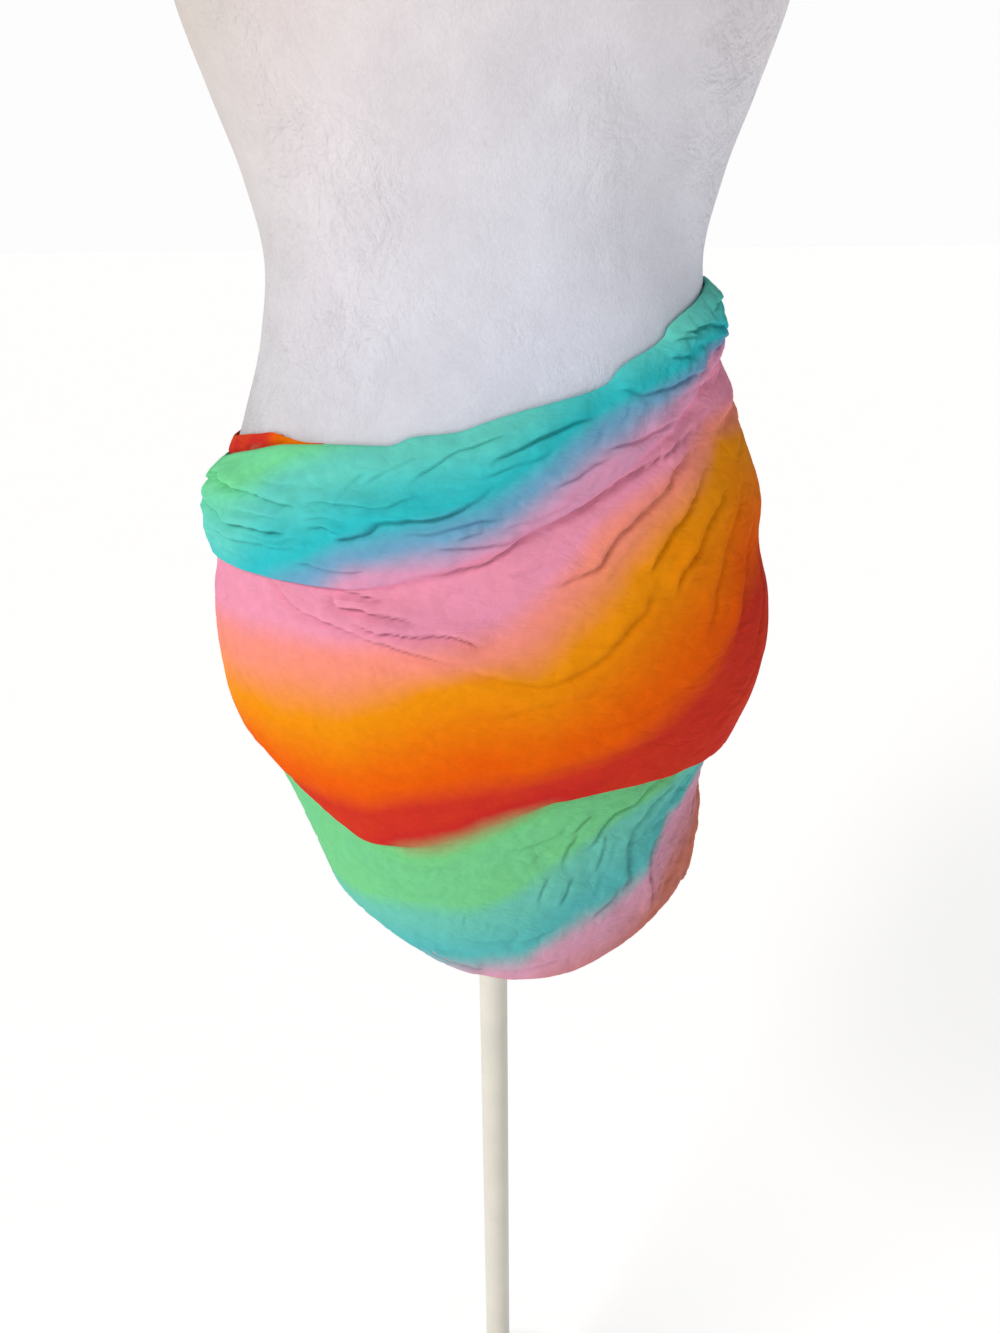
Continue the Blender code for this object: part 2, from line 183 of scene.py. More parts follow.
class Table:
    """Rows of numbers against their first column, read between rows on curves with no overshoot."""

    def __init__(self, rows: Sequence[Sequence[float]], closed: bool = False) -> None:
        """Keeps the rows and works out the curves' slopes.

        Args:
            rows: The rows, each with its key first, in rising order.
            closed: Whether the keys are angles that go all the way round.
        """
        grid = np.array(rows, float)
        self.closed = closed
        if closed:
            turn = np.zeros(grid.shape[1])
            turn[0] = 360.0
            grid = np.concatenate([grid[-3:] - turn, grid, grid[:3] + turn])
        self.keys = grid[:, 0]
        self.values = grid[:, 1:]
        climbs = np.diff(self.values, axis=0) / np.diff(self.keys)[:, None]
        before, after = climbs[:-1], climbs[1:]
        steady = before * after > 0
        total = np.where(steady, before + after, 1.0)
        self.slopes = np.zeros_like(self.values)
        self.slopes[1:-1] = np.where(steady, 2 * before * after / total, 0.0)

    def at(self, where: np.ndarray) -> np.ndarray:
        """Reads every column.

        Args:
            where: The keys to read at, in any shape.

        Returns:
            The values, with the columns first.
        """
        where = np.asarray(where, float)
        if self.closed:
            where = (where + 180.0) % 360.0 - 180.0
        where = np.clip(where, self.keys[0], self.keys[-1])
        low = np.clip(np.searchsorted(self.keys, where, side="right") - 1, 0, len(self.keys) - 2)
        span = self.keys[low + 1] - self.keys[low]
        part = (where - self.keys[low]) / span
        square, cube = part**2, part**3
        columns = []
        for value, slope in zip(self.values.T, self.slopes.T):
            columns.append(
                value[low] * (2 * cube - 3 * square + 1)
                + value[low + 1] * (3 * square - 2 * cube)
                + slope[low] * span * (cube - 2 * square + part)
                + slope[low + 1] * span * (cube - square)
            )
        return np.array(columns)


# Drop, half width, front depth, back depth and sideways shift of the form's cuts.
FORM = Table(
    (
        (-0.455, 0.0500, 0.0480, 0.0500, 0.0),
        (-0.425, 0.0510, 0.0485, 0.0510, 0.0),
        (-0.404, 0.0600, 0.0510, 0.0560, 0.0),
        (-0.385, 0.0860, 0.0560, 0.0660, 0.0),
        (-0.362, 0.1200, 0.0640, 0.0790, 0.0),
        (-0.335, 0.1470, 0.0740, 0.0900, 0.0),
        (-0.300, 0.1590, 0.0880, 0.0990, 0.0),
        (-0.250, 0.1590, 0.1030, 0.1050, 0.0),
        (-0.200, 0.1610, 0.1160, 0.1060, 0.0006),
        (-0.160, 0.1605, 0.1150, 0.1030, 0.0012),
        (-0.120, 0.1540, 0.1030, 0.0980, 0.0012),
        (-0.080, 0.1415, 0.0940, 0.0930, 0.0010),
        (-0.040, 0.1280, 0.0880, 0.0890, 0.0005),
        (0.000, 0.1205, 0.0860, 0.0880, 0.0),
        (0.040, 0.1265, 0.0890, 0.0920, 0.0),
        (0.080, 0.1395, 0.0940, 0.1000, 0.0),
        (0.120, 0.1535, 0.0990, 0.1090, 0.0),
        (0.170, 0.1625, 0.1040, 0.1180, 0.0),
        (0.215, 0.1670, 0.1070, 0.1230, 0.0),
        (0.245, 0.1640, 0.1075, 0.1230, 0.0),
        (0.275, 0.1490, 0.1040, 0.1170, 0.0),
        (0.300, 0.1385, 0.1015, 0.1110, 0.0),
        (0.325, 0.1280, 0.1000, 0.1060, 0.0),
        (0.350, 0.1180, 0.0960, 0.1010, 0.0),
        (0.368, 0.1090, 0.0910, 0.0960, 0.0),
        (0.380, 0.0980, 0.0820, 0.0870, 0.0),
    )
)

# The same for the turn of cloth over the hips.
OUTER_TURN = Table(
    (
        (0.000, 0.1228, 0.0883, 0.0903, 0.0005),
        (0.040, 0.1290, 0.0915, 0.0945, 0.0005),
        (0.080, 0.1427, 0.0970, 0.1030, 0.0010),
        (0.120, 0.1590, 0.1035, 0.1130, 0.0015),
        (0.170, 0.1688, 0.1095, 0.1240, 0.0025),
        (0.215, 0.1740, 0.1135, 0.1300, 0.0025),
        (0.245, 0.1712, 0.1145, 0.1310, 0.0020),
        (0.275, 0.1620, 0.1135, 0.1280, 0.0010),
        (0.300, 0.1500, 0.1120, 0.1240, 0.0010),
        (0.330, 0.1400, 0.1100, 0.1190, 0.0010),
    )
)

# The same for the lower turn, down to the hem.
INNER_TURN = Table(
    (
        (0.250, 0.1665, 0.1105, 0.1268, 0.0020),
        (0.275, 0.1535, 0.1085, 0.1235, 0.0010),
        (0.300, 0.1435, 0.1075, 0.1185, 0.0013),
        (0.325, 0.1360, 0.1085, 0.1160, 0.0035),
        (0.350, 0.1325, 0.1120, 0.1150, 0.0089),
        (0.375, 0.1275, 0.1165, 0.1140, 0.0125),
        (0.405, 0.1200, 0.1190, 0.1120, 0.0150),
    )
)

# Angle, then the drops in millimetres of the band's top edge, foot, tuck and hem, and the band's puff.
EDGES = Table(
    (
        (-180, 60.0, 122, 290, 392, 6.0),
        (-150, 83.0, 146, 282, 390, 6.0),
        (-120, 98.0, 156, 272, 386, 6.8),
        (-90, 106.0, 160, 266, 382, 6.4),
        (-60, 94.8, 159, 274.5, 380, 6.4),
        (-45, 87.6, 159, 302, 384, 6.2),
        (-30, 85.5, 159.5, 321, 392.5, 5.5),
        (-20, 84.8, 157, 319, 398, 5.2),
        (-15, 80.2, 153, 316, 400.5, 5.0),
        (-6, 77.6, 145, 307, 403, 4.7),
        (0, 73.0, 138, 300, 404, 4.5),
        (8, 67.5, 127, 292, 403.5, 4.2),
        (15, 64.0, 118, 286, 402.5, 4.0),
        (27, 57.0, 100, 282, 397, 4.0),
        (32, 48.8, 93, 282, 395, 4.0),
        (46, 36.5, 74, 283, 386.5, 4.2),
        (48.5, 31.5, 71, 283, 385.5, 4.3),
        (60, 23.0, 57, 284, 379.5, 4.0),
        (90, 10.0, 46, 286, 384, 4.1),
        (120, 14.0, 56, 290, 388, 3.0),
        (150, 34.0, 88, 293, 391, 5.0),
    ),
    closed=True,
)

# Angle, then how crisp the band's foot and the tuck are: 1 is an open fold, 0 melts into the cloth.
CRISPNESS = Table(
    (
        (-180, 0.85, 0.90),
        (-90, 1.00, 1.00),
        (-52, 1.00, 1.00),
        (-36, 1.00, 0.95),
        (-28, 0.85, 0.75),
        (-20, 0.45, 0.25),
        (-10, 0.30, 0.05),
        (2, 0.35, 0.05),
        (10, 0.40, 0.30),
        (18, 0.40, 0.85),
        (30, 0.30, 1.00),
        (60, 0.40, 1.00),
        (90, 0.55, 1.00),
        (126, 0.70, 0.95),
    ),
    closed=True,
)

# Angle, then how many millimetres of the first turn show above the band.
TURN_SHOWN = Table(
    (
        (-196, 0), (-184, 5), (-160, 9), (-120, 11), (-90, 11), (-75, 10.5), (-66, 9.4), (-58, 8.2),
        (-54, 7.6), (-49, 4.6), (-44, 1.2), (-39, 0),
    )
)

# Angle, then the drops in millimetres where the band turns fully green, teal, cyan, blue and pink.
BAND_DYES = Table(
    (
        (-160, 62, 82, 100, 118, 132),
        (-125, 96, 118, 142, 162, 178),
        (-90, 112, 146, 172, 190, 206),
        (-60, 104, 138, 170, 190, 206),
        (-50, 96, 124, 156, 176, 192),
        (-42, 86, 108, 146, 164, 186),
        (-35, 78, 100, 140, 154, 182),
        (-27, 68, 92, 128, 142, 160),
        (-20, 60, 88, 121, 136, 153),
        (-10, 50, 78, 112, 128, 151),
        (0, 42, 73, 104, 118, 141),
        (10, 30, 62, 88, 100, 124),
        (20, 20, 50, 72, 82, 104),
        (30, 12, 42, 61, 70, 90),
        (50, 0, 32, 47, 53, 64),
        (62, -8, 22, 39, 43, 50),
        (76, -12, 16, 36, 40, 47),
        (90, -12, 14, 32, 40, 50),
        (126, -2, 24, 42, 62, 74),
        (160, 28, 52, 74, 94, 106),
    ),
    closed=True,
)

# The same over the hips: pink, salmon, orange, scarlet and red.
HIP_DYES = Table(
    (
        (-160, 150, 186, 212, 246, 268),
        (-125, 172, 206, 236, 262, 284),
        (-90, 180, 204, 242, 272, 292),
        (-60, 180, 204, 241, 274, 294),
        (-45, 178, 202, 242, 281, 300),
        (-30, 179, 200, 239, 282, 303),
        (-20, 178, 197, 227, 275, 295),
        (-10, 176, 195, 213, 267, 289),
        (0, 166, 190, 206, 261, 283),
        (8, 150, 177, 209, 259, 278),
        (14, 134, 158, 196, 255, 274),
        (22, 114, 132, 176, 248, 270),
        (30, 102, 118, 150, 236, 263),
        (40, 92, 106, 128, 216, 248),
        (50, 78, 92, 112, 192, 226),
        (60, 71, 82, 94, 162, 196),
        (90, 60, 80, 98, 146, 176),
        (126, 74, 96, 122, 172, 205),
        (160, 110, 142, 168, 212, 240),
    ),
    closed=True,
)

# The same below the tuck: green, teal, cyan, pink and rust.
LOWER_DYES = Table(
    (
        (-180, 300, 330, 352, 372, 410),
        (-125, 352, 372, 392, 412, 440),
        (-90, 364, 380, 400, 422, 450),
        (-54, 362, 377, 397, 414, 448),
        (-28, 353, 368, 390, 408, 440),
        (-10, 350, 363, 386, 403, 432),
        (0, 343, 354, 383, 401, 428),
        (10, 328, 345, 371, 386, 425),
        (20, 313, 331, 360, 377, 422),
        (30, 302, 316, 351, 370, 415),
        (40, 293, 304, 341, 357, 400),
        (50, 284, 294, 319, 335, 380),
        (60, 274, 284, 303, 320, 364),
        (75, 264, 274, 292, 308, 352),
        (90, 256, 268, 288, 302, 330),
        (126, 262, 284, 306, 322, 352),
    ),
    closed=True,
)

# Broad hollows of the hip turn: angle, reach in degrees, drop, reach and height in millimetres.
HIP_SWELLS = ((88.0, 30.0, 159.0, 19.0, -5.8), (86.0, 26.0, 84.0, 9.0, -1.8), (-16.0, 20.0, 182.0, 20.0, 1.6))

# The folds of the band and the hips.
UPPER_CREASES = (
    Crease(((-72, 110), (-60, 113.5), (-49, 114), (-41, 116), (-35, 117)), 6.0, 2.2, 2.4, (0.15, 0.15)),
    Crease(((-37, 115), (-29, 113.5), (-21, 114), (-16, 111), (-9, 106)), 5.0, 1.5, 1.5, (0.15, 0.25)),
    Crease(
        ((-82, 123), (-66, 127), (-62, 129), (-56, 132.5), (-45, 132), (-38, 132)),
        6.2, 2.9, 3.4, (0.10, 0.10),
    ),
    Crease(((-37, 128.5), (-32, 127), (-29, 127), (-25, 128)), 4.5, 1.3, 1.5),
    Crease(
        (
            (-29, 133), (-25, 130.5), (-21, 126.5), (-19, 122.5),
            (-15, 119.5), (-10, 119), (-5, 115.5), (0, 106), (6, 95),
        ),
        6.2, 2.5, 2.6, (0.08, 0.40),
    ),
    Crease(((-18, 125), (-10, 126), (-5, 122.5), (0, 119), (6, 117)), 4.5, 1.0, 1.3),
    Crease(((-38, 147), (-34, 147.5), (-30, 149.5), (-25, 149.5), (-22, 148)), 5.0, 1.7, 2.4, (0.2, 0.2)),
    Crease(((-70, 138), (-58, 141), (-48, 141.5), (-31, 139)), 5.0, 1.8, 1.8),
    Crease(((-58, 122), (-50, 124), (-44, 123), (-38, 125)), 4.0, 1.2, 1.4),
    Crease(((-66, 151), (-56, 150), (-46, 152)), 4.0, 1.2, 1.2),
    Crease(((-50, 104), (-43, 107), (-36, 106)), 4.5, 0.8, 0.9),
    Crease(((-88, 106), (-80, 108), (-70, 112), (-60, 112), (-50, 116)), 5.0, 1.3, 1.7),
    Crease(((-92, 120), (-84, 119), (-76, 115), (-70, 110)), 5.0, 1.4, 1.6, (0.2, 0.3)),
    Crease(((-90, 136), (-80, 132), (-72, 134), (-64, 139), (-54, 138)), 5.0, 1.4, 1.8, (0.2, 0.3)),
    Crease(((-54, 133.5), (-46, 137), (-40, 136), (-34, 133)), 4.0, 1.0, 1.1),
    Crease(((-86, 146), (-74, 147), (-64, 145)), 4.5, 1.0, 1.2),
    Crease(((-36, 124), (-30, 121), (-24, 121.5)), 3.5, 0.7, 0.9),
    Crease(((-24, 104), (-20, 98), (-15, 91), (-11, 86)), 4.0, 0.8, 0.9),
    Crease(((-2, 99), (3, 95), (9, 90), (14, 84)), 4.5, 1.0, 1.2),
    Crease(((-28, 112), (-26, 104), (-22, 96)), 3.5, 0.5, 0.7),
    Crease(((-15, 105), (-12, 97.5), (-8, 90), (-3, 84), (3, 79.5), (8, 75)), 4.5, 1.1, 1.2),
    Crease(((0, 92), (5, 86.5), (10, 80.5), (15, 76), (20, 73), (27, 69.5)), 6.0, 1.8, 2.2, (0.15, 0.3)),
    Crease(((-5, 129), (-2, 126), (0, 124.5)), 4.0, 0.9, 1.2),
    Crease(((-10, 134), (-5, 133.5), (0, 132), (4, 130.5), (7, 127)), 5.0, 1.5, 2.0, (0.15, 0.2)),
    Crease(
        (
            (-13, 150), (-5, 146), (-1, 142), (3, 135.5), (7.5, 128), (12.5, 121), (17.5, 116), (21.5, 110.5),
            (25, 105), (31, 100), (37.5, 94.5), (43, 88), (46, 85.5), (53.5, 80), (62, 75),
        ),
        5.5, 1.7, 2.4, (0.06, 0.2),
    ),
    Crease(((2, 124), (7.5, 121), (12.5, 116), (16, 113)), 4.0, 0.8, 0.9),
    Crease(((12, 106), (15, 100.5), (20, 94.5), (26, 90.5)), 5.0, 1.3, 1.6),
    Crease(((22, 88), (27, 85.5), (33, 81.5), (39.5, 77.5), (47, 72)), 5.0, 1.5, 1.8),
    Crease(((34, 82.5), (38, 83), (44, 84)), 4.0, 0.9, 1.1),
    Crease(((2, 150), (5.5, 148.5), (8, 146), (11, 142)), 4.5, 0.7, 0.9),
    Crease(((50, 34.5), (55, 33), (61, 32), (68, 33), (78, 36), (88, 38)), 5.0, 1.9, 3.0, (0.12, 0.4)),
    Crease(((45, 38.5), (49, 37.3), (56, 36.5)), 4.0, 1.3, 1.5),
    Crease(((44, 46.5), (47, 45.5), (52, 45.5)), 4.0, 1.3, 1.5),
    Crease(((26, 60), (31, 60.5), (35, 61.5), (40, 60.5), (46, 57.5), (54, 54), (60, 50)), 5.0, 1.6, 2.0),
    Crease(((52, 58), (56, 50), (59, 44)), 4.0, 1.6, 0.8),
    Crease(((49, 62.5), (54, 61.7), (60, 61.5), (70, 58), (84, 50)), 6.0, 1.5, 1.8),
    Crease(((60, 48), (70, 43), (84, 40), (100, 38)), 5.0, 1.6, 2.0, (0.25, 0.05)),
    Crease(((62, 27), (74, 23), (88, 22), (104, 26)), 4.0, 1.2, 1.6, (0.3, 0.05)),
    Crease(((56, 90), (68, 82), (82, 75), (106, 66)), 11.0, 2.4, 2.2, (0.2, 0.1)),
    Crease(((62, 106), (74, 94), (88, 84), (104, 74)), 7.0, 1.4, 2.0, (0.25, 0.05)),
    Crease(
        (
            (9, 157), (14.5, 153.5), (19.5, 148), (21.5, 141), (25, 131), (30.5, 121), (36.5, 111), (41, 100),
            (45, 95.5), (52, 90),
        ),
        6.4, 2.0, 2.5, (0.15, 0.2),
    ),
    Crease(
        ((31, 155), (32.5, 146), (34.5, 139), (37, 133), (40, 126), (44, 117), (49, 106), (54, 97)),
        6.0, 2.2, 2.8, (0.12, 0.3),
    ),
    Crease(((37, 169), (38, 160), (40, 152), (43, 144), (47, 134), (52, 123), (58, 112)), 6.4, 2.2, 2.6),
    Crease(((44, 198), (47, 180), (50, 164), (54, 147), (60, 128), (66, 112)), 8.0, 1.3, 1.5),
    Crease(((53, 206), (57, 186), (61, 168), (66, 148), (74, 124)), 9.0, 1.4, 1.6),
    Crease(((62, 224), (69, 190), (77, 150), (86, 112)), 9.0, 1.6, 2.0),
    Crease(((76, 196), (84, 158), (93, 122), (104, 88)), 8.0, 1.5, 2.0, (0.3, 0.05)),
    Crease(((90, 240), (96, 184), (103, 134), (111, 92)), 9.0, 1.5, 1.8, (0.4, 0.05)),
    Crease(
        (
            (-21, 190), (-14, 193.5), (-8, 198), (-4, 202), (0, 205.5), (5, 209.5), (10, 210.5),
            (14, 207), (20, 197), (24.5, 186), (28.5, 175), (31, 167), (34.5, 158),
        ),
        8.0, 2.0, 1.2, (0.2, 0.15),
    ),
    Crease(((-29, 160.8), (-24.3, 162), (-22, 163), (-18.5, 164.5)), 5.0, 2.0, 3.4, (0.2, 0.3)),
    Crease(
        ((-31, 161), (-30, 166.8), (-28, 169.5), (-22.3, 170.8), (-16.4, 173), (-10.5, 176)),
        6.0, 2.1, 2.9, (0.2, 0.25),
    ),
    Crease(
        ((-27, 177), (-23, 179.3), (-16.5, 181.2), (-8.2, 182.6), (-4, 184.5), (0, 190)),
        6.0, 2.4, 2.9, (0.25, 0.2),
    ),
    Crease(
        (
            (-49, 159), (-45, 162), (-41, 170.6), (-38.7, 174.2), (-32, 178), (-27, 182.6), (-21, 186.6),
            (-13.8, 191.2), (-6, 196), (0, 199),
        ),
        6.3, 2.2, 2.2, (0.12, 0.25),
    ),
    Crease(((-22, 199), (-21.4, 203), (-21, 208)), 3.5, 0.6, 0.7),
    Crease(((-19.5, 200), (-18.8, 204), (-18.5, 208)), 3.5, 0.5, 0.6),
    Crease(((-88, 166), (-78, 188), (-71, 205), (-63, 230), (-56, 252)), 6.5, 0.9, 1.0),
    Crease(((-76, 178), (-66, 206), (-58, 226), (-50, 246)), 5.5, 0.6, 0.7),
    Crease(((-108, 170), (-98, 206), (-84, 244)), 8.0, 0.9, 1.1),
    Crease(((-64, 256), (-55, 280), (-44, 296)), 6.0, 1.0, 0.9),
    Crease(((-44, 290), (-34, 302), (-24, 306)), 7.0, 0.8, 0.6),
    Crease(((-4, 229), (6, 224), (14, 220), (24, 212)), 6.5, 0.6, 0.7),
    Crease(((-6, 266), (14, 262), (34, 252), (50, 238)), 8.0, 0.6, 0.7),
    Crease(((14, 244), (30, 234), (46, 214), (58, 192)), 8.0, 0.7, 0.8),
    Crease(((46, 262), (62, 240), (82, 200)), 9.0, 0.9, 1.0),
    Crease(((140, 40), (165, 66), (192, 92), (216, 112)), 6.5, 1.6, 2.2),
    Crease(((146, 62), (172, 90), (204, 116), (236, 134)), 6.5, 1.5, 2.2),
    Crease(((200, 96), (226, 112), (256, 124)), 6.0, 1.2, 1.8),
    Crease(((138, 52), (152, 66), (170, 96)), 5.0, 1.3, 1.9, (0.05, 0.3)),
    Crease(((216, 130), (240, 142), (270, 146)), 5.5, 1.2, 1.8),
    Crease(((236, 112), (252, 118), (272, 118)), 5.0, 1.0, 1.4),
    Crease(((128, 96), (136, 146), (150, 206), (166, 250)), 9.0, 2.2, 2.6, (0.05, 0.4)),
    Crease(((132, 100), (146, 150), (166, 204), (192, 244)), 8.0, 1.9, 2.4, (0.05, 0.4)),
    Crease(((138, 100), (156, 144), (182, 188), (214, 222)), 8.5, 2.1, 2.6, (0.05, 0.4)),
    Crease(((142, 98), (162, 132), (190, 166), (222, 194)), 7.5, 1.7, 2.2, (0.05, 0.4)),
    Crease(((148, 100), (168, 120), (196, 148), (224, 170)), 6.5, 1.4, 2.0, (0.05, 0.4)),
    Crease(((118, 96), (117, 150), (114, 210)), 8.5, 1.8, 2.2, (0.05, 0.4)),
    Crease(((236, 182), (252, 206), (268, 240)), 8.0, 0.9, 1.2),
    Crease(((200, 252), (226, 262), (250, 262)), 8.0, 0.9, 1.0),
)

# The folds below the tuck.
LOWER_CREASES = (
    Crease(((19.5, 311), (21, 306), (22.5, 303), (25, 299)), 4.5, 1.0, 1.5),
    Crease(
        ((24.5, 322), (26, 317), (28.3, 309), (30.2, 304), (35.4, 299), (39, 292), (43, 285)),
        5.0, 1.5, 2.2, (0.15, 0.3),
    ),
    Crease(((16, 332), (17.7, 323), (19.3, 317), (21.5, 310)), 5.0, 0.9, 1.2),
    Crease(((25, 340), (27, 330), (28.5, 322), (29.5, 315)), 5.0, 0.9, 1.1),
    Crease(((30, 359), (34.6, 349), (35.5, 341), (36.3, 332), (37, 322), (39, 312)), 8.0, 1.7, 2.0),
    Crease(((37, 320), (41, 310), (44, 303), (47, 297), (51, 289)), 7.0, 1.8, 2.2, (0.2, 0.2)),
    Crease(((54, 324), (57, 312), (58, 303), (59, 294)), 4.5, 1.4, 2.2),
    Crease(
        ((43, 378), (43.3, 368), (43, 359), (42, 347), (45, 334), (49, 326), (56, 308)),
        5.5, 2.0, 2.6, (0.08, 0.3),
    ),
    Crease(((8, 355), (9.5, 347), (11, 342), (13.5, 335)), 4.5, 0.8, 1.1),
    Crease(((13.5, 359), (15.5, 350), (17, 344), (19.5, 338)), 5.0, 0.9, 1.2),
    Crease(((5.5, 324), (7, 326), (9, 329)), 3.5, 0.6, 0.8),
    Crease(((22, 369), (26, 363), (29, 359), (32, 352)), 5.0, 1.2, 1.4),
    Crease(((-12.5, 368), (-11.5, 364), (-11, 360)), 3.5, 0.6, 0.9),
    Crease(((-26, 390), (-20, 394), (-14, 395.3), (-8.5, 396)), 4.0, 1.2, 2.4, (0.2, 0.15)),
    Crease(((-20, 374), (-4, 378), (8, 374), (18, 364)), 6.0, 0.6, 0.8),
    Crease(((-46, 334), (-30, 348), (-12, 352)), 7.0, 0.6, 0.7),
    Crease(((-34, 328), (-22, 334), (-8, 330)), 5.0, 0.5, 0.6),
    Crease(((2, 318), (12, 314), (20, 304)), 5.0, 0.6, 0.8),
    Crease(((-6, 398), (4, 396), (16, 388)), 5.0, 0.7, 0.9),
    Crease(((60, 376), (66, 345), (76, 300)), 7.0, 1.5, 1.8),
    Crease(((84, 376), (88, 345), (92, 304)), 8.0, 1.7, 2.0),
    Crease(((112, 378), (114, 345), (118, 306)), 8.0, 1.4, 1.8),
    Crease(((140, 380), (144, 345), (148, 308)), 8.5, 1.5, 1.9),
    Crease(((176, 382), (180, 345), (184, 306)), 8.0, 1.2, 1.6),
    Crease(((206, 380), (211, 340), (218, 300)), 8.5, 1.3, 1.7),
    Crease(((238, 374), (246, 335), (256, 296)), 8.0, 1.0, 1.4),
)

# The folds of the first turn's edge.
TURN_CREASES = (
    Crease(((-74, 91), (-68, 93.2), (-62, 93.4), (-56, 90)), 3.0, 0.7, 1.0),
    Crease(((-51, 80), (-49.6, 85), (-48.6, 91)), 3.0, 0.8, 1.0, (0.1, 0.1)),
    Crease(((-42, 82), (-41, 86), (-40, 90)), 2.5, 0.5, 0.6, (0.1, 0.1)),
    Crease(((-112, 96), (-100, 99), (-88, 98)), 3.0, 0.7, 1.0),
)

# The dyes along the cloth's width, in the order in which they follow each other, as linear colours.
DYES = (
    (0.190, 0.735, 0.300),
    (0.140, 0.660, 0.560),
    (0.028, 0.535, 0.585),
    (0.160, 0.390, 0.590),
    (0.860, 0.315, 0.490),
    (0.950, 0.290, 0.215),
    (0.880, 0.290, 0.003),
    (0.840, 0.112, 0.002),
    (0.600, 0.022, 0.020),
    (0.185, 0.630, 0.240),
    (0.150, 0.560, 0.450),
    (0.100, 0.490, 0.490),
    (0.700, 0.340, 0.470),
    (0.600, 0.170, 0.085),
)


def point_on(turn: Table, angle: np.ndarray, drop: np.ndarray, proud: np.ndarray) -> np.ndarray:
    """Places on a turn's surface.

    Args:
        turn: The turn's cuts by drop.
        angle: Angles round the body, in degrees.
        drop: Drops below the waist.
        proud: How far outside the surface each place lies.

    Returns:
        The places, with x, y and z last.
    """
    half_width, front, back, shift = turn.at(drop)
    bearing = np.radians(angle)
    depth = np.where(np.cos(bearing) > 0, front, back)
    x = shift + (half_width + proud) * np.sin(bearing)
    y = -(depth + proud) * np.cos(bearing)
    return np.stack(np.broadcast_arrays(x, y, WAIST_HEIGHT - drop), axis=-1)


def smooth_step(value: np.ndarray) -> np.ndarray:
    """A soft ramp from 0 to 1."""
    value = np.clip(value, 0.0, 1.0)
    return value * value * (3.0 - 2.0 * value)


def between(share: Numbers, first: Numbers, second: Numbers) -> np.ndarray:
    """A value that goes from the first to the second as the share goes from 0 to 1."""
    return first + (second - first) * share


def bell(value: Numbers, middle: float, reach: float, power: int = 2) -> np.ndarray:
    """A bump that is 1 at its middle and runs out at about its reach."""
    return np.exp(-(((value - middle) / reach) ** power))


def folded(crisp: Numbers, opened: Numbers, melted: Numbers) -> np.ndarray:
    """A value that is the first at an open fold and the second where the fold melts into the cloth."""
    return crisp * opened + (1.0 - crisp) * melted


def dye_at(lines: Table, first: float, angle: np.ndarray, drop: np.ndarray) -> np.ndarray:
    """Which dye the cloth takes.

    Args:
        lines: The drops in millimetres at which each dye is full, by angle.
        first: The number of the table's first dye.
        angle: Angles round the body.
        drop: Drops below the waist.

    Returns:
        Numbers of dyes, with parts between two of them.
    """
    levels = lines.at(angle) * MM
    dye = np.full(np.shape(drop), float(first))
    for upper, lower in zip(levels[:-1], levels[1:]):
        part = (drop - upper) / (lower - upper)
        dye = dye + between(DYE_SOFTNESS, np.clip(part, 0.0, 1.0), smooth_step(part))
    return np.clip(dye, first + DYE_MARGIN, first + len(levels) - 1 - DYE_MARGIN)


def crease_line(path: Sequence[Pair], parts: int = 5) -> np.ndarray:
    """A crease's line as a smooth row of places through its own.

    Args:
        path: The places that the line goes through.
        parts: How many places are laid from one of them to the next.

    Returns:
        The row of places.
    """
    places = np.array(path, float)
    padded = np.concatenate([2 * places[:1] - places[1:2], places, 2 * places[-1:] - places[-2:-1]])
    line = []
    for before, start, end, after in zip(padded, padded[1:], padded[2:], padded[3:]):
        for t in np.arange(parts) / parts:
            line.append(
                0.5
                * (
                    2 * start
                    + (end - before) * t
                    + (2 * before - 5 * start + 4 * end - after) * t**2
                    + (3 * start - before - 3 * end + after) * t**3
                )
            )
    line.append(places[-1])
    return np.array(line)


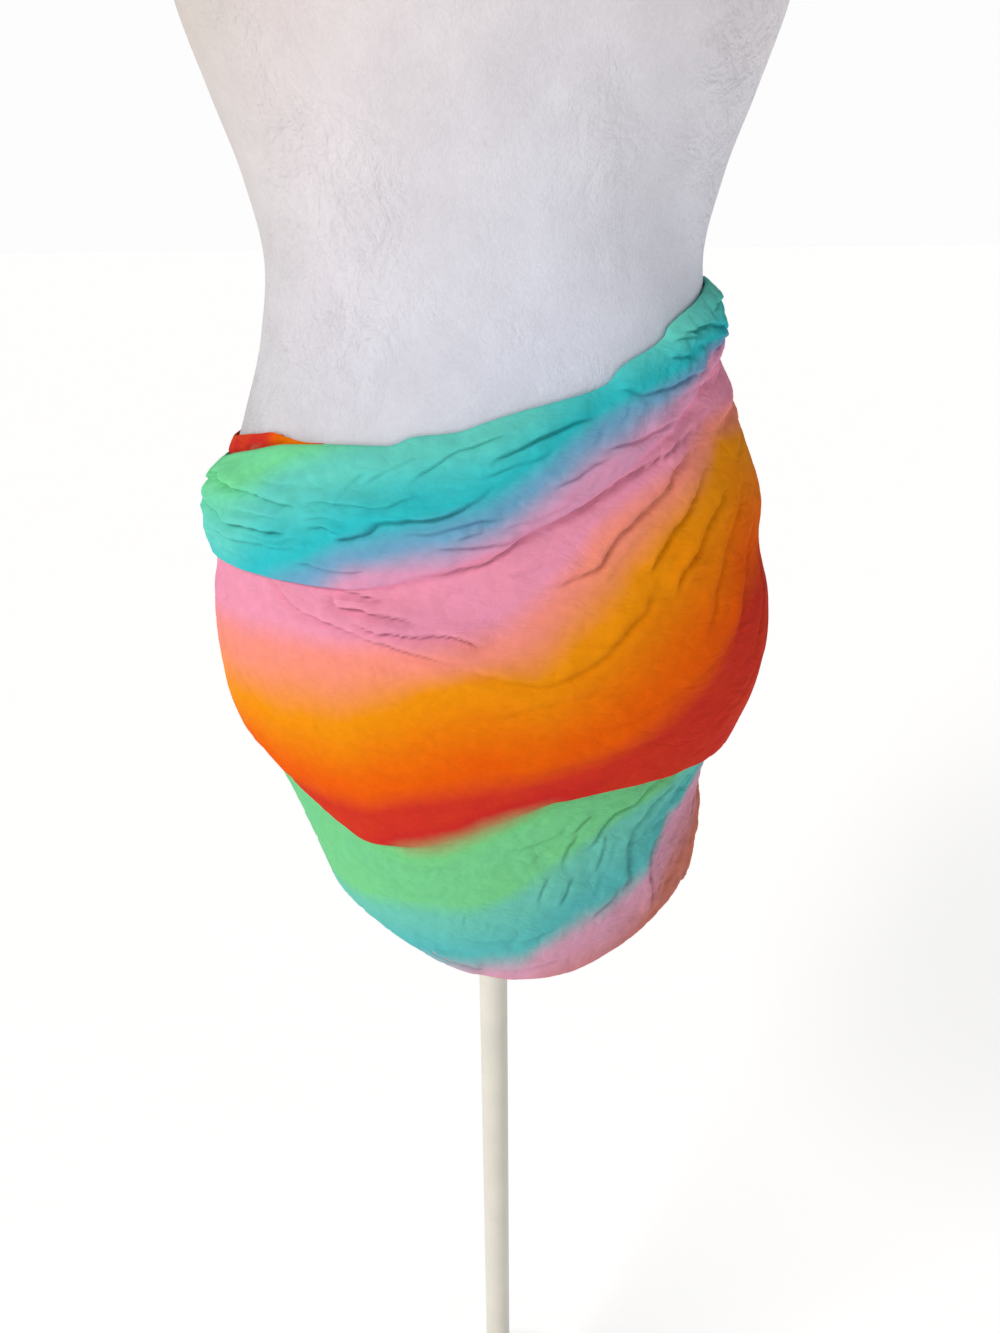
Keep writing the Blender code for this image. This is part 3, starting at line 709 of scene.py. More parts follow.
def relief(creases: Sequence[Crease], angle: np.ndarray, drop: np.ndarray) -> tuple[np.ndarray, np.ndarray]:
    """How far creases raise or sink the cloth.

    Args:
        creases: The folds' lines.
        angle: Angles round the body.
        drop: Drops below the waist.

    Returns:
        Heights over the smooth cloth, and the painted shade along the folds' lines at each place, from 0 to
        1.
    """
    metres = np.radians(OUTER_TURN.at(drop)[0] * FOLD.mean_radius)
    firm = 1.0 + FOLD.unevenness * stray(angle, drop, 0.020, 3.0)
    bend = FOLD.wide_bend * stray(angle, drop, 0.013, 11.0)
    bend += FOLD.tight_bend * stray(angle, drop, 0.006, 17.0)
    angle, drop = angle + stray(angle, drop, 0.012, 29.0), drop + bend
    height = np.zeros(np.shape(drop))
    crease_shade = np.zeros(np.shape(drop))
    for crease in creases:
        line = crease_line(crease.path)
        width = crease.width * MM
        centre = line[:, 0].mean()
        around = (angle - centre + 180.0) % 360.0 - 180.0 + centre
        reach, slack = FOLD.reach * width, FOLD.reach * crease.width / FOLD.degree
        near = (around > line[:, 0].min() - slack) & (around < line[:, 0].max() + slack)
        near &= (drop > line[:, 1].min() * MM - reach) & (drop < line[:, 1].max() * MM + reach)
        if not near.any():
            continue
        nearest, side, along = off_line(line, around[near], drop[near], metres[near])
        across = nearest * side / width
        wide = crease.width > WIDE_FOLD
        fade_in, fade_out = crease.fade
        strength = smooth_step(along / fade_in) * smooth_step((1.0 - along) / fade_out) * firm[near]
        slope = np.where(across > FOLD.lip_at, FOLD.near_slope, FOLD.far_slope)
        lip = bell(across, FOLD.lip_at, slope)
        lip += FOLD.second_lip * bell(across, FOLD.second_at, FOLD.second_slope)
        share = FOLD.wide_line_share if wide else FOLD.line_share
        cut = bell(nearest, 0.0, FOLD.line_base + share * width)
        rise = FOLD.swell_gain * crease.swell * lip - FOLD.cut_gain * crease.cut * cut
        height[near] += strength * MM * rise
        # Painted shade: each fold's line darkens the colour, more for deeper cuts and less for wide folds.
        depth = min(1.0, crease.cut / FOLD.full_cut) * (FOLD.wide_fold_shade if wide else 1.0)
        crease_shade[near] = np.maximum(crease_shade[near], strength * cut * depth)
    return height, crease_shade


def off_line(
    line: np.ndarray, angle: np.ndarray, drop: np.ndarray, metres: np.ndarray
) -> tuple[np.ndarray, np.ndarray, np.ndarray]:
    """Where places lie from a crease's line.

    Args:
        line: The line's angles and its drops in millimetres.
        angle: The places' angles.
        drop: Their drops below the waist.
        metres: The metres in a degree at each.

    Returns:
        How far off the line each place lies, on which side, 1 below it and -1 above, and how far along it.
    """
    nearest = np.full(angle.shape, 1.0)
    side = np.ones(angle.shape)
    along = np.zeros(angle.shape)
    for step, (start, end) in enumerate(zip(line, line[1:])):
        run_x, run_y = (end[0] - start[0]) * metres, (end[1] - start[1]) * MM
        off_x, off_y = (angle - start[0]) * metres, drop - start[1] * MM
        t = np.clip((off_x * run_x + off_y * run_y) / (run_x**2 + run_y**2 + 1e-12), 0.0, 1.0)
        distance = np.hypot(off_x - t * run_x, off_y - t * run_y)
        closer = distance < nearest
        nearest = np.where(closer, distance, nearest)
        side = np.where(closer, np.sign(run_x * off_y - run_y * off_x), side)
        along = np.where(closer, (step + t) / (len(line) - 1), along)
    return nearest, side, along


def stray(angle: np.ndarray, drop: np.ndarray, size: float, seed: float) -> np.ndarray:
    """A smooth uneven field round the body, from about -0.5 to 0.5.

    Args:
        angle: Angles round the body.
        drop: Drops below the waist.
        size: How far apart its hills lie.
        seed: A shift that makes one field differ from another.

    Returns:
        The field's values.
    """
    bearing = np.radians(angle)
    x, y = BODY_RADIUS * np.sin(bearing) / size + seed, BODY_RADIUS * np.cos(bearing) / size
    spots = zip(x.tolist(), y.tolist(), (drop / size).tolist())
    return np.array([noise.noise(spot) for spot in spots]) * STRAY_RANGE


def crinkle(flat: np.ndarray, size: float, lean: float, stretch: float, seed: float) -> np.ndarray:
    """Small uneven wrinkles, longer one way than the other.

    Args:
        flat: Places on the flat cloth.
        size: How far apart the wrinkles lie.
        lean: The angle in degrees that they run at.
        stretch: How many times longer than wide they are.
        seed: A shift that makes one field differ from another.

    Returns:
        Heights from about -1 to 1.
    """
    turn = math.radians(lean)
    run = (flat[:, 0] * math.cos(turn) + flat[:, 1] * math.sin(turn)) / (size * stretch)
    rise = (flat[:, 1] * math.cos(turn) - flat[:, 0] * math.sin(turn)) / size
    heights = []
    for x, y in zip(run, rise):
        bend = 0.5 * noise.noise((x * 1.3, y * 0.45, seed + 7.0))
        heights.append(noise.noise((x, y + bend, seed)) + 0.45 * noise.noise((2.1 * x, 2.2 * y, seed + 3.0)))
    return np.array(heights)


def lay_sheet(
    name: str, columns: np.ndarray, rows: np.ndarray, place: Callable[[np.ndarray, np.ndarray], Laid]
) -> bpy.types.Object:
    """Makes a sheet of cloth from a grid.

    Args:
        name: The piece's name.
        columns: How far across the sheet each column lies, from 0 to 1.
        rows: How far down it each row lies, or its number.
        place: Lays out the grid's places, given each one's column and row.

    Returns:
        The piece, as one layer with no thickness yet.
    """
    shape = bmesh.new()
    bmesh.ops.create_grid(shape, x_segments=len(columns) - 1, y_segments=len(rows) - 1, size=0.5)
    spots = np.array([vertex.co[:2] for vertex in shape.verts])
    column = np.rint((spots[:, 0] + 0.5) * (len(columns) - 1)).astype(int)
    row = np.rint((0.5 - spots[:, 1]) * (len(rows) - 1)).astype(int)
    laid = place(columns[column], rows[row])
    dye_layer = shape.verts.layers.float.new("dye")
    # Painted shade along the folds' lines, which the material multiplies into the dye.
    crease_shade_layer = shape.verts.layers.float.new("crease_shade")
    flat_layer = shape.loops.layers.uv.new("flat")
    for vertex, point, dye, crease_shade in zip(shape.verts, laid.points, laid.dye, laid.crease_shade):
        vertex.co = point
        vertex[dye_layer] = dye / DYE_STEPS
        vertex[crease_shade_layer] = crease_shade
    shape.verts.index_update()
    for face in shape.faces:
        for loop in face.loops:
            loop[flat_layer].uv = laid.flat[loop.vert.index]
    bmesh.ops.remove_doubles(shape, verts=shape.verts, dist=WELD)
    shape.normal_update()
    facing = sum(face.normal.dot(face.calc_center_median() * Vector((1, 1, 0))) for face in shape.faces)
    if facing < 0:
        bmesh.ops.reverse_faces(shape, faces=shape.faces)
    for edge in shape.edges:
        edge.smooth = not edge.is_boundary
    return add_piece(name, shape)


def add_piece(name: str, shape: bmesh.types.BMesh) -> bpy.types.Object:
    """Puts a finished shape into the scene, at the origin, with smooth shading.

    Args:
        name: The piece's name.
        shape: Its shape, which is used up.

    Returns:
        The piece.
    """
    for face in shape.faces:
        face.smooth = True
    mesh = bpy.data.meshes.new(name)
    shape.to_mesh(mesh)
    shape.free()
    piece = bpy.data.objects.new(name, mesh)
    bpy.context.scene.collection.objects.link(piece)
    return piece


def give_wall(piece: bpy.types.Object, thickness: float = CLOTH_WALL) -> None:
    """Gives a sheet its thickness, on its inner side."""
    wall = piece.modifiers.new("wall", "SOLIDIFY")
    wall.thickness = thickness
    wall.offset = -1.0


class NodeSheet:
    """A material's nodes, with short ways to add and join them."""

    def __init__(self, name: str) -> None:
        """Makes a material with an empty shader."""
        self.material = bpy.data.materials.new(name)
        self.material.use_nodes = True
        self.tree = self.material.node_tree
        self.shader = self.tree.nodes["Principled BSDF"]

    def give(self, socket: Socket, given: object) -> None:
        """Joins an input to the socket that it is given, or sets its value."""
        if isinstance(given, bpy.types.NodeSocket):
            self.tree.links.new(given, socket)
        else:
            socket.default_value = given

    def add(self, kind: str, **values: object) -> bpy.types.Node:
        """Adds a node.

        Args:
            kind: The node's type, without its ShaderNode prefix.
            values: What its inputs are given, by name, with spaces as underscores, and its own settings.

        Returns:
            The node.
        """
        node = self.tree.nodes.new(f"ShaderNode{kind}")
        for key, value in values.items():
            if hasattr(node, key):
                setattr(node, key, value)
            else:
                self.give(node.inputs[key.replace("_", " ")], value)
        return node

    def dress(self, **values: object) -> bpy.types.Material:
        """Gives the shader's inputs what they take, by name, with spaces as underscores."""
        for key, value in values.items():
            self.give(self.shader.inputs[key.replace("_", " ")], value)
        return self.material

    def place(self) -> Socket:
        """Places in the piece's own metres."""
        return self.add("TexCoord").outputs["Object"]

    def read(self, attribute: str) -> Socket:
        """The piece's own attribute."""
        return self.add("Attribute", attribute_name=attribute).outputs["Fac"]

    def noise(self, place: Socket, scale: float, detail: float, **values: float) -> Socket:
        """A noise's value at each place."""
        return self.add("TexNoise", Vector=place, Scale=scale, Detail=detail, **values).outputs["Fac"]

    def spread(self, value: Socket, before: Pair = (0.0, 1.0), after: Pair = (0.0, 1.0)) -> Socket:
        """Takes a value from one range to another."""
        ends = {"From_Min": before[0], "From_Max": before[1], "To_Min": after[0], "To_Max": after[1]}
        return self.add("MapRange", Value=value, **ends).outputs["Result"]

    def work_out(self, operation: str, *values: Socket | float) -> Socket:
        """Does a sum with one or two values."""
        node = self.add("Math", operation=operation)
        for socket, value in zip(node.inputs, values):
            self.give(socket, value)
        return node.outputs["Value"]

    def ramp(self, value: Socket, *stops: tuple[float, Colour]) -> Socket:
        """Turns a value into a colour.

        Args:
            value: The value, from 0 to 1.
            stops: The ramp's places and the colours there.

        Returns:
            The colour.
        """
        node = self.add("ValToRGB", Fac=value)
        elements = node.color_ramp.elements
        while len(elements) < len(stops):
            elements.new(0.5)
        for number, (position, colour) in enumerate(stops):
            elements[number].position = position
            elements[number].color = (*colour, 1.0)
        return node.outputs["Color"]

    def multiply(self, first: Socket, second: Socket, amount: float = 1.0) -> Socket:
        """Darkens one colour by another.

        Args:
            first: The colour.
            second: What it is multiplied by.
            amount: How much of that to take.

        Returns:
            The darker colour.
        """
        node = self.add("Mix", data_type="RGBA", blend_type="MULTIPLY")
        for number, given in ((0, amount), (6, first), (7, second)):
            self.give(node.inputs[number], given)
        return node.outputs[2]

    def bump(self, height: Socket, distance: float, strength: float, before: Socket | None = None) -> Socket:
        """Adds relief to the shader.

        Args:
            height: The relief, from 0 to 1.
            distance: How far 1 stands out, in metres.
            strength: How much of it shows.
            before: The relief that this one lies on.

        Returns:
            The bumped normal.
        """
        node = self.add("Bump", Height=height, Distance=distance, Strength=strength)
        if before is not None:
            self.give(node.inputs["Normal"], before)
        return node.outputs["Normal"]


@dataclass(frozen=True)
class DippedCotton:
    """Light crinkled cotton, dyed in soft bands across its width."""

    roughness: float = 0.88
    sheen: float = 0.01
    crinkle_size: float = 0.012
    crinkle_lean: float = 28.0
    crinkle_height: float = 7.0 * MM
    thread_pitch: float = 0.7 * MM
    thread_height: float = 0.12 * MM
    fold_shade: float = 0.72

    def build(self, name: str) -> bpy.types.Material:
        """Makes the material, which reads the piece's dye attribute and its flat cloth UV map."""
        sheet = NodeSheet(name)
        flat = sheet.add("UVMap", uv_map="flat").outputs["UV"]
        crinkled = sheet.bump(self.crinkles(sheet, flat), self.crinkle_height, 0.40)
        return sheet.dress(
            Base_Color=self.dyed(sheet),
            Normal=sheet.bump(self.weave(sheet, flat), self.thread_height, 0.5, crinkled),
            Roughness=self.roughness,
            Specular_IOR_Level=0.04,
            Sheen_Weight=self.sheen,
            Sheen_Roughness=0.5,
        )

    def dyed(self, sheet: NodeSheet) -> Socket:
        """The dyes, a little uneven and washed paler in spots, with painted shade darkening them along the
        folds' lines.
        """
        place = sheet.place()
        uneven = sheet.spread(sheet.noise(place, 38.0, 3.0, Roughness=0.6), after=(-0.012, 0.012))
        stops = [(number / DYE_STEPS, colour) for number, colour in enumerate(DYES)]
        dyes = sheet.ramp(sheet.work_out("ADD", sheet.read("dye"), uneven), *stops)
        spots = sheet.noise(place, 140.0, 4.0, Roughness=0.65)
        wash = sheet.ramp(spots, (0.30, (0.90, 0.90, 0.90)), (0.72, (1.03, 1.03, 1.03)))
        # Painted shade: the dyes are darkened along the folds' lines.
        shade = sheet.spread(sheet.read("crease_shade"), after=(1.0, self.fold_shade))
        return sheet.multiply(sheet.multiply(dyes, wash, 0.8), shade)

    def crinkles(self, sheet: NodeSheet, flat: Socket) -> Socket:
        """Fine slanting crinkles with sharp valleys."""
        lean = sheet.add("Mapping", Vector=flat)
        lean.inputs["Rotation"].default_value = (0.0, 0.0, math.radians(self.crinkle_lean))
        lean.inputs["Scale"].default_value = (0.45, 1.0, 1.0)
        slanting = lean.outputs["Vector"]
        waves = sheet.noise(slanting, 1.0 / self.crinkle_size, 3.0, Roughness=0.5, Distortion=0.4)
        return sheet.work_out("ABSOLUTE", sheet.work_out("SUBTRACT", waves, 0.5))

    def weave(self, sheet: NodeSheet, flat: Socket) -> Socket:
        """Threads that cross, each way at the same pitch."""
        scale = math.tau / 20.0 / self.thread_pitch
        settings = {"Vector": flat, "Scale": scale, "Distortion": 1.2, "Detail": 1.0}
        threads = [sheet.add("TexWave", bands_direction=way, **settings).outputs["Fac"] for way in "XY"]
        return sheet.work_out("MULTIPLY", *threads)


@dataclass(frozen=True)
class FuzzyKnit:
    """The form's white knit cover, a little fuzzy."""

    # Painted light: the cover's tint is cooler below and warmer above in place of bounce and key light, and
    # the left side gets painted shade with a beige cast.
    painted_cool_light: Colour = (0.750, 0.775, 0.890)
    painted_warm_light: Colour = (0.865, 0.790, 0.780)
    painted_side_shade: Colour = (0.75, 0.72, 0.62)
    wear_and_side_shade: Colour = (0.965, 0.91, 0.865)
    stitch: float = 1.6 * MM

    def build(self, name: str) -> bpy.types.Material:
        """Makes the material."""
        sheet = NodeSheet(name)
        place = sheet.place()
        fuzz = sheet.noise(place, 420.0, 6.0, Roughness=0.75)
        fleck = sheet.ramp(fuzz, (0.35, (0.95, 0.95, 0.95)), (0.62, WHITE))
        loops = sheet.add("TexVoronoi", Vector=place, Scale=1.0 / self.stitch, Randomness=0.7)
        felt = sheet.bump(self.pile(sheet, place), 14.0 * MM, 0.50)
        knit = sheet.bump(loops.outputs["Distance"], 0.3 * MM, 0.35, felt)
        return sheet.dress(
            Base_Color=sheet.multiply(self.tone(sheet, place), fleck),
            Normal=sheet.bump(fuzz, 0.6 * MM, 0.35, knit),
            Roughness=0.95,
            Specular_IOR_Level=0.15,
            Sheen_Weight=0.06,
            Sheen_Roughness=0.6,
        )

    def tone(self, sheet: NodeSheet, place: Socket) -> Socket:
        """White with painted light, cooler below and warmer above, painted shade with a beige cast at one
        side, and mottled all over.
        """
        parts = sheet.add("SeparateXYZ", Vector=place)
        # Painted light: a cooler tint toward the waist and a warmer one toward the chest.
        height = sheet.spread(parts.outputs["Z"], before=(1.08, 1.34))
        painted_light_tint = sheet.ramp(height, (0.0, self.painted_cool_light), (1.0, self.painted_warm_light))
        # Painted shade with a beige cast, darkest at the left edge and gone toward the middle.
        across = sheet.spread(parts.outputs["X"], before=(-0.165, 0.03))
        side = sheet.ramp(across, (0.0, self.painted_side_shade), (0.42, self.wear_and_side_shade), (1.0, WHITE))
        mottle = sheet.noise(place, 22.0, 5.0, Roughness=0.6)
        patch = sheet.ramp(mottle, (0.34, (0.90, 0.895, 0.895)), (0.66, WHITE))
        return sheet.multiply(sheet.multiply(painted_light_tint, side), patch)

    def pile(self, sheet: NodeSheet, place: Socket) -> Socket:
        """Rubbed-up pile, thick in some places and almost flat in others."""
        lumps = sheet.noise(place, 46.0, 4.0, Roughness=0.66, Distortion=0.35)
        thick = sheet.spread(sheet.noise(place, 7.0, 2.0), before=(0.44, 0.60), after=(0.15, 1.0))
        return sheet.work_out("MULTIPLY", lumps, thick)


@dataclass(frozen=True)
class CreamEnamel:
    """Satin cream paint on steel, a little worn and uneven."""

    colour: Colour = (0.72, 0.69, 0.60)
    wear_and_side_shade: float = 0.93
    roughness: float = 0.42

    def build(self, name: str) -> bpy.types.Material:
        """Makes the material."""
        sheet = NodeSheet(name)
        place = sheet.place()
        patches = sheet.noise(place, 30.0, 4.0)
        darker = tuple(channel * self.wear_and_side_shade for channel in self.colour)
        skin = sheet.noise(place, 260.0, 2.0)
        return sheet.dress(
            Base_Color=sheet.ramp(patches, (0.35, darker), (0.65, self.colour)),
            Roughness=sheet.spread(patches, after=(self.roughness - 0.08, self.roughness + 0.12)),
            Normal=sheet.bump(skin, 0.3 * MM, 0.25),
        )


@dataclass
class DressForm:
    """The limbless form: a knit-covered torso, with its cap, socket, pole and base."""

    base_radius: float = 0.125
    base_thickness: float = 0.014
    collar_radius: float = 0.020
    collar_height: float = 0.024
    edge: float = 3.0 * MM
    rim: float = 2.0 * MM
    bevel: float = 1.2 * MM
    bevel_from: float = math.radians(50)
    crisp_from: float = math.radians(40)
    round_steps: int = 96
    knit: bpy.types.Material = field(default_factory=lambda: FuzzyKnit().build("form_knit"))
    enamel: bpy.types.Material = field(default_factory=lambda: CreamEnamel().build("stand_enamel"))

    def build(self) -> list[bpy.types.Object]:
        """Builds the torso and the stand."""
        return [
            self.torso(),
            self.barrel("neck_plate", "form_neck_cap", (0, 0, 0), (0, 1, -2), (4, 1, 0)),
            self.barrel("pole_socket", "form_socket", (4, 0, 0), (0, 0, 5), (0, 1, 0)),
            self.barrel("pole", "stand_pole", (0, 0, 0), (0, 1, 0)),
            self.base(),
        ]

    def torso(self) -> bpy.types.Object:
        """The smooth torso, closed at the neck and at the bottom with soft rims."""
        top, bottom = FORM.keys[0], FORM.keys[-1]

        def place(across: np.ndarray, down: np.ndarray) -> Laid:
            """Lays the cover on the form's cuts."""
            drop = between(down, top, bottom)
            none = np.zeros_like(drop)
            points = point_on(FORM, 360.0 * across - 180.0, drop, none)
            return Laid(points, none, np.stack([across, down], axis=-1), none)

        piece = lay_sheet("form_cover", np.linspace(0, 1, 129), np.linspace(0, 1, 181), place)
        shape = bmesh.new()
        shape.from_mesh(piece.data)
        rims = [edge for edge in shape.edges if edge.is_boundary]
        bmesh.ops.holes_fill(shape, edges=rims)
        shape.normal_update()
        bmesh.ops.recalc_face_normals(shape, faces=shape.faces)
        bmesh.ops.bevel(
            shape, geom=rims, offset=self.rim, segments=3, profile=0.5, affect="EDGES", material=-1
        )
        shape.to_mesh(piece.data)
        shape.free()
        piece.data.shade_smooth()
        return self.finish(piece, self.knit, Finish.KNIT, "form_torso")

    def finish(
        self, piece: bpy.types.Object, material: bpy.types.Material, slot: Finish, node: str
    ) -> bpy.types.Object:
        """Dresses a piece and hides the CAD node that it stands for.

        Args:
            piece: The piece.
            material: What it is made of.
            slot: Not used.
            node: The CAD node that it stands for.

        Returns:
            The same piece.
        """
        piece.data.materials.clear()
        piece.data.materials.append(material)
        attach(piece, BODY)
        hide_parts(node)
        return piece

    def barrel(self, name: str, node: str, *corners: tuple[float, int, float]) -> bpy.types.Object:
        """A round piece as wide and as tall as its node.

        Args:
            name: The piece's name.
            node: The CAD node that it stands for.
            corners: How far each corner of its outline lies inside the node's radius, whether it is measured
                from the node's bottom, 0, or its top, 1, and its height above that, in millimetres.

        Returns:
            The piece.
        """
        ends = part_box(node)
        radius = (ends[1][0] - ends[0][0]) / 2
        profile = [(radius - inset * MM, ends[end][2] + rise * MM) for inset, end, rise in corners]
        return self.turned(name, profile, node)

    def turned(self, name: str, profile: Sequence[Pair], node: str) -> bpy.types.Object:
        """A piece turned on a lathe.

        Args:
            name: The piece's name.
            profile: Pairs of radius and height, from the bottom to the top.
            node: The CAD node that it stands for.

        Returns:
            The piece.
        """
        shape = bmesh.new()
        corners = [shape.verts.new((radius, 0.0, height)) for radius, height in profile]
        outline = [shape.edges.new(pair) for pair in zip(corners, corners[1:])]
        bmesh.ops.spin(
            shape,
            geom=corners + outline,
            cent=(0, 0, 0),
            axis=(0, 0, 1),
            angle=math.tau,
            steps=self.round_steps,
            use_merge=True,
        )
        bmesh.ops.remove_doubles(shape, verts=shape.verts, dist=WELD)
        bmesh.ops.holes_fill(shape, edges=[edge for edge in shape.edges if edge.is_boundary])
        shape.normal_update()
        bmesh.ops.recalc_face_normals(shape, faces=shape.faces)
        closed = (edge for edge in shape.edges if len(edge.link_faces) == 2)
        sharp = [edge for edge in closed if edge.calc_face_angle() > self.bevel_from]
        bmesh.ops.bevel(
            shape, geom=sharp, offset=self.bevel, segments=3, profile=0.5, affect="EDGES", material=-1
        )
        piece = add_piece(name, shape)
        piece.data.set_sharp_from_angle(angle=self.crisp_from)
        return self.finish(piece, self.enamel, Finish.ENAMEL, node)

    def base(self) -> bpy.types.Object:
        """The heavy round base with its collar."""
        top = self.base_thickness
        collar_top = top + self.collar_height
        profile = (
            (self.base_radius - 1.5 * MM, 0.0),
            (self.base_radius, 1.5 * MM),
            (self.base_radius, top - self.edge),
            (self.base_radius - self.edge, top),
            (self.collar_radius + 2 * MM, top + 0.8 * MM),
            (self.collar_radius, top + 3 * MM),
            (self.collar_radius, collar_top - 1.5 * MM),
            (self.collar_radius - 1.5 * MM, collar_top),
        )
        return self.turned("base_plate", profile, "stand_base")


@dataclass
class Sarong:
    """The wound cloth: its folded band, hip and lower turns, first turn, knot and two ends."""

    columns: int = 480
    front_density: float = 1.5
    top_roll: float = 2.0 * MM
    hem_roll: float = 1.8 * MM
    seat: float = -2.1 * MM
    seat_on_turn: float = 0.3 * MM
    band_lead: Pair = (1.6 * MM, 7.0 * MM)
    hip_start: Pair = (2.6 * MM, 7.0 * MM)
    hip_lead: Pair = (2.2 * MM, 11.0 * MM)
    lower_start: Pair = (3.4 * MM, 10.0 * MM)
    puff_power: float = 0.7
    melt_height: float = 36.0 * MM
    turn_span: Pair = (-36.0, -196.0)
    turn_length: float = 0.36
    turn_tuck: float = 14.0 * MM
    knot_angle: float = 126.0
    knot_half_size: Triple = (0.036, 0.0190, 0.026)
    knot_back: float = 0.40
    loop_half_width: float = 0.36
    tail_root: float = 3.6
    tail_proud: float = 11.2 * MM
    cotton: bpy.types.Material = field(default_factory=lambda: DippedCotton().build("sarong_cloth"))

    def build(self) -> list[bpy.types.Object]:
        """Builds every stretch of the cloth."""
        wound = self.wound()
        turn = self.first_turn()
        knot = self.knot()
        front = self.tail("knot_end_front", "tie_tail_front", 121.0, 115.0, 0.100, 10.0)
        back = self.tail("knot_end_back", "tie_tail_back", 131.0, 138.0, 0.130, 9.5)
        return [*wound, turn, knot, front, back]

    def finish(self, piece: bpy.types.Object, *nodes: str) -> bpy.types.Object:
        """Dresses a piece of the cloth and hides the CAD nodes that it stands for."""
        piece.data.materials.append(self.cotton)
        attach(piece, BODY)
        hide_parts(*nodes)
        return piece

    def wound(self) -> list[bpy.types.Object]:
        """The band, the hip turn and the lower turn: one cloth, folded at the band and tucked in below."""
        spread = np.linspace(-180.0, 180.0, 721)
        weight = 1.0 + self.front_density * bell(spread, 8.0, 92.0, 4)
        total = np.concatenate([[0.0], np.cumsum((weight[1:] + weight[:-1]) / 2)])
        columns = np.interp(np.linspace(0.0, total[-1], self.columns + 1), total, spread) / 360.0 + 0.5
        starts = [0, *itertools.accumulate(count for count, _ in self.stretches())]
        pieces = []
        for name, first, last, node, flat in (
            ("sarong_band", 0, 3, "waist_fold", (0.95, 0.08)),
            ("sarong_hips", 3, 5, "wrap_hip", (1.00, 0.15)),
            ("sarong_lower", 5, 7, "wrap_lower", (0.85, 0.12)),
        ):
            rows = np.arange(starts[first], min(starts[last], starts[-1] - 1) + 1)
            piece = lay_sheet(name, columns, rows, self.lay_wound)
            give_wall(piece)
            self.finish(piece, node)
            pieces.append(piece)
        return pieces

    def stretches(self) -> tuple[tuple[int, Callable[[Ring, np.ndarray, int], Strip]], ...]:
        """The cloth's stretches from its top edge to its hem: how many rows each has, and what lays it."""
        return (
            (5, self.top_edge),
            (84, self.band),
            (10, self.foot),
            (84, self.hips),
            (12, self.tuck),
            (84, self.lower),
            (5, self.hem),
        )

    def lay_wound(self, across: np.ndarray, row: np.ndarray) -> Laid:
        """Lays out the wound cloth.

        Args:
            across: How far round each place is, from 0 to 1.
            row: The number of its row, from the top edge down.

        Returns:
            The places, dyes and flat places.
        """
        angle = 360.0 * across - 180.0
        top, foot, tuck, hem, puff = EDGES.at(angle) * MM
        on_turn = smooth_step((-34.0 - angle) / 8.0) + smooth_step((angle - 158.0) / 8.0)
        seat = between(np.clip(on_turn, 0.0, 1.0), self.seat, self.seat_on_turn)
        ring = Ring(angle, top, foot, tuck, hem, puff, *CRISPNESS.at(angle), seat)
        strip = Strip(*(np.zeros_like(angle) for _ in Strip._fields))
        start = 0
        for count, lay in self.stretches():
            here = (row >= start) & (row < start + count)
            if here.any():
                laid = lay(Ring(*(column[here] for column in ring)), row[here] - start, count)
                for column, values in zip(strip, laid):
                    column[here] = values
            start += count
        flat = np.stack([across * HIP_GIRTH, strip.drop + strip.inner * 0.02], axis=-1)
        proud = strip.proud + self.wrinkles(flat, angle, strip.drop)
        outer_points = point_on(OUTER_TURN, angle, strip.drop, proud)
        inner_points = point_on(INNER_TURN, angle, strip.drop, proud)
        return Laid(between(strip.inner[:, None], outer_points, inner_points), strip.dye, flat, strip.crease_shade)

    def top_edge(self, ring: Ring, step: np.ndarray, count: int) -> Strip:
        """The top edge, which turns over inside the band."""
        inside = np.array((8.0, 4.0, 1.4, 0.3, 0.2)) * MM
        out = np.array((0.0, 0.0, 0.08, 0.42, 0.85))
        none = np.zeros_like(ring.angle)
        dye = dye_at(BAND_DYES, BAND_FIRST, ring.angle, ring.top)
        return Strip(ring.top + inside[step], ring.seat + self.top_roll * out[step], none, dye, none)

    def band(self, ring: Ring, step: np.ndarray, count: int) -> Strip:
        """The puffed band."""
        start = ring.top + 0.9 * MM
        end = ring.foot - folded(ring.foot_crisp, *self.band_lead)
        drop = between((step + 1.0) / count, start, end)
        whole = (drop - ring.top) / (ring.foot - ring.top)
        arch = np.sin(np.pi * np.clip(whole, 0.0, 1.0)) ** self.puff_power
        rise = smooth_step((drop - ring.top) / (7.0 * MM))
        held = rise * np.where(whole > 0.5, 1.0 - ring.foot_crisp * (1.0 - arch), 1.0)
        height, crease_shade = relief(UPPER_CREASES, ring.angle, drop)
        proud = between(rise, ring.seat + self.top_roll, LAP) + arch * ring.puff + height * held
        dye = dye_at(BAND_DYES, BAND_FIRST, ring.angle, drop)
        return Strip(drop, proud, np.zeros_like(drop), dye, crease_shade * held)

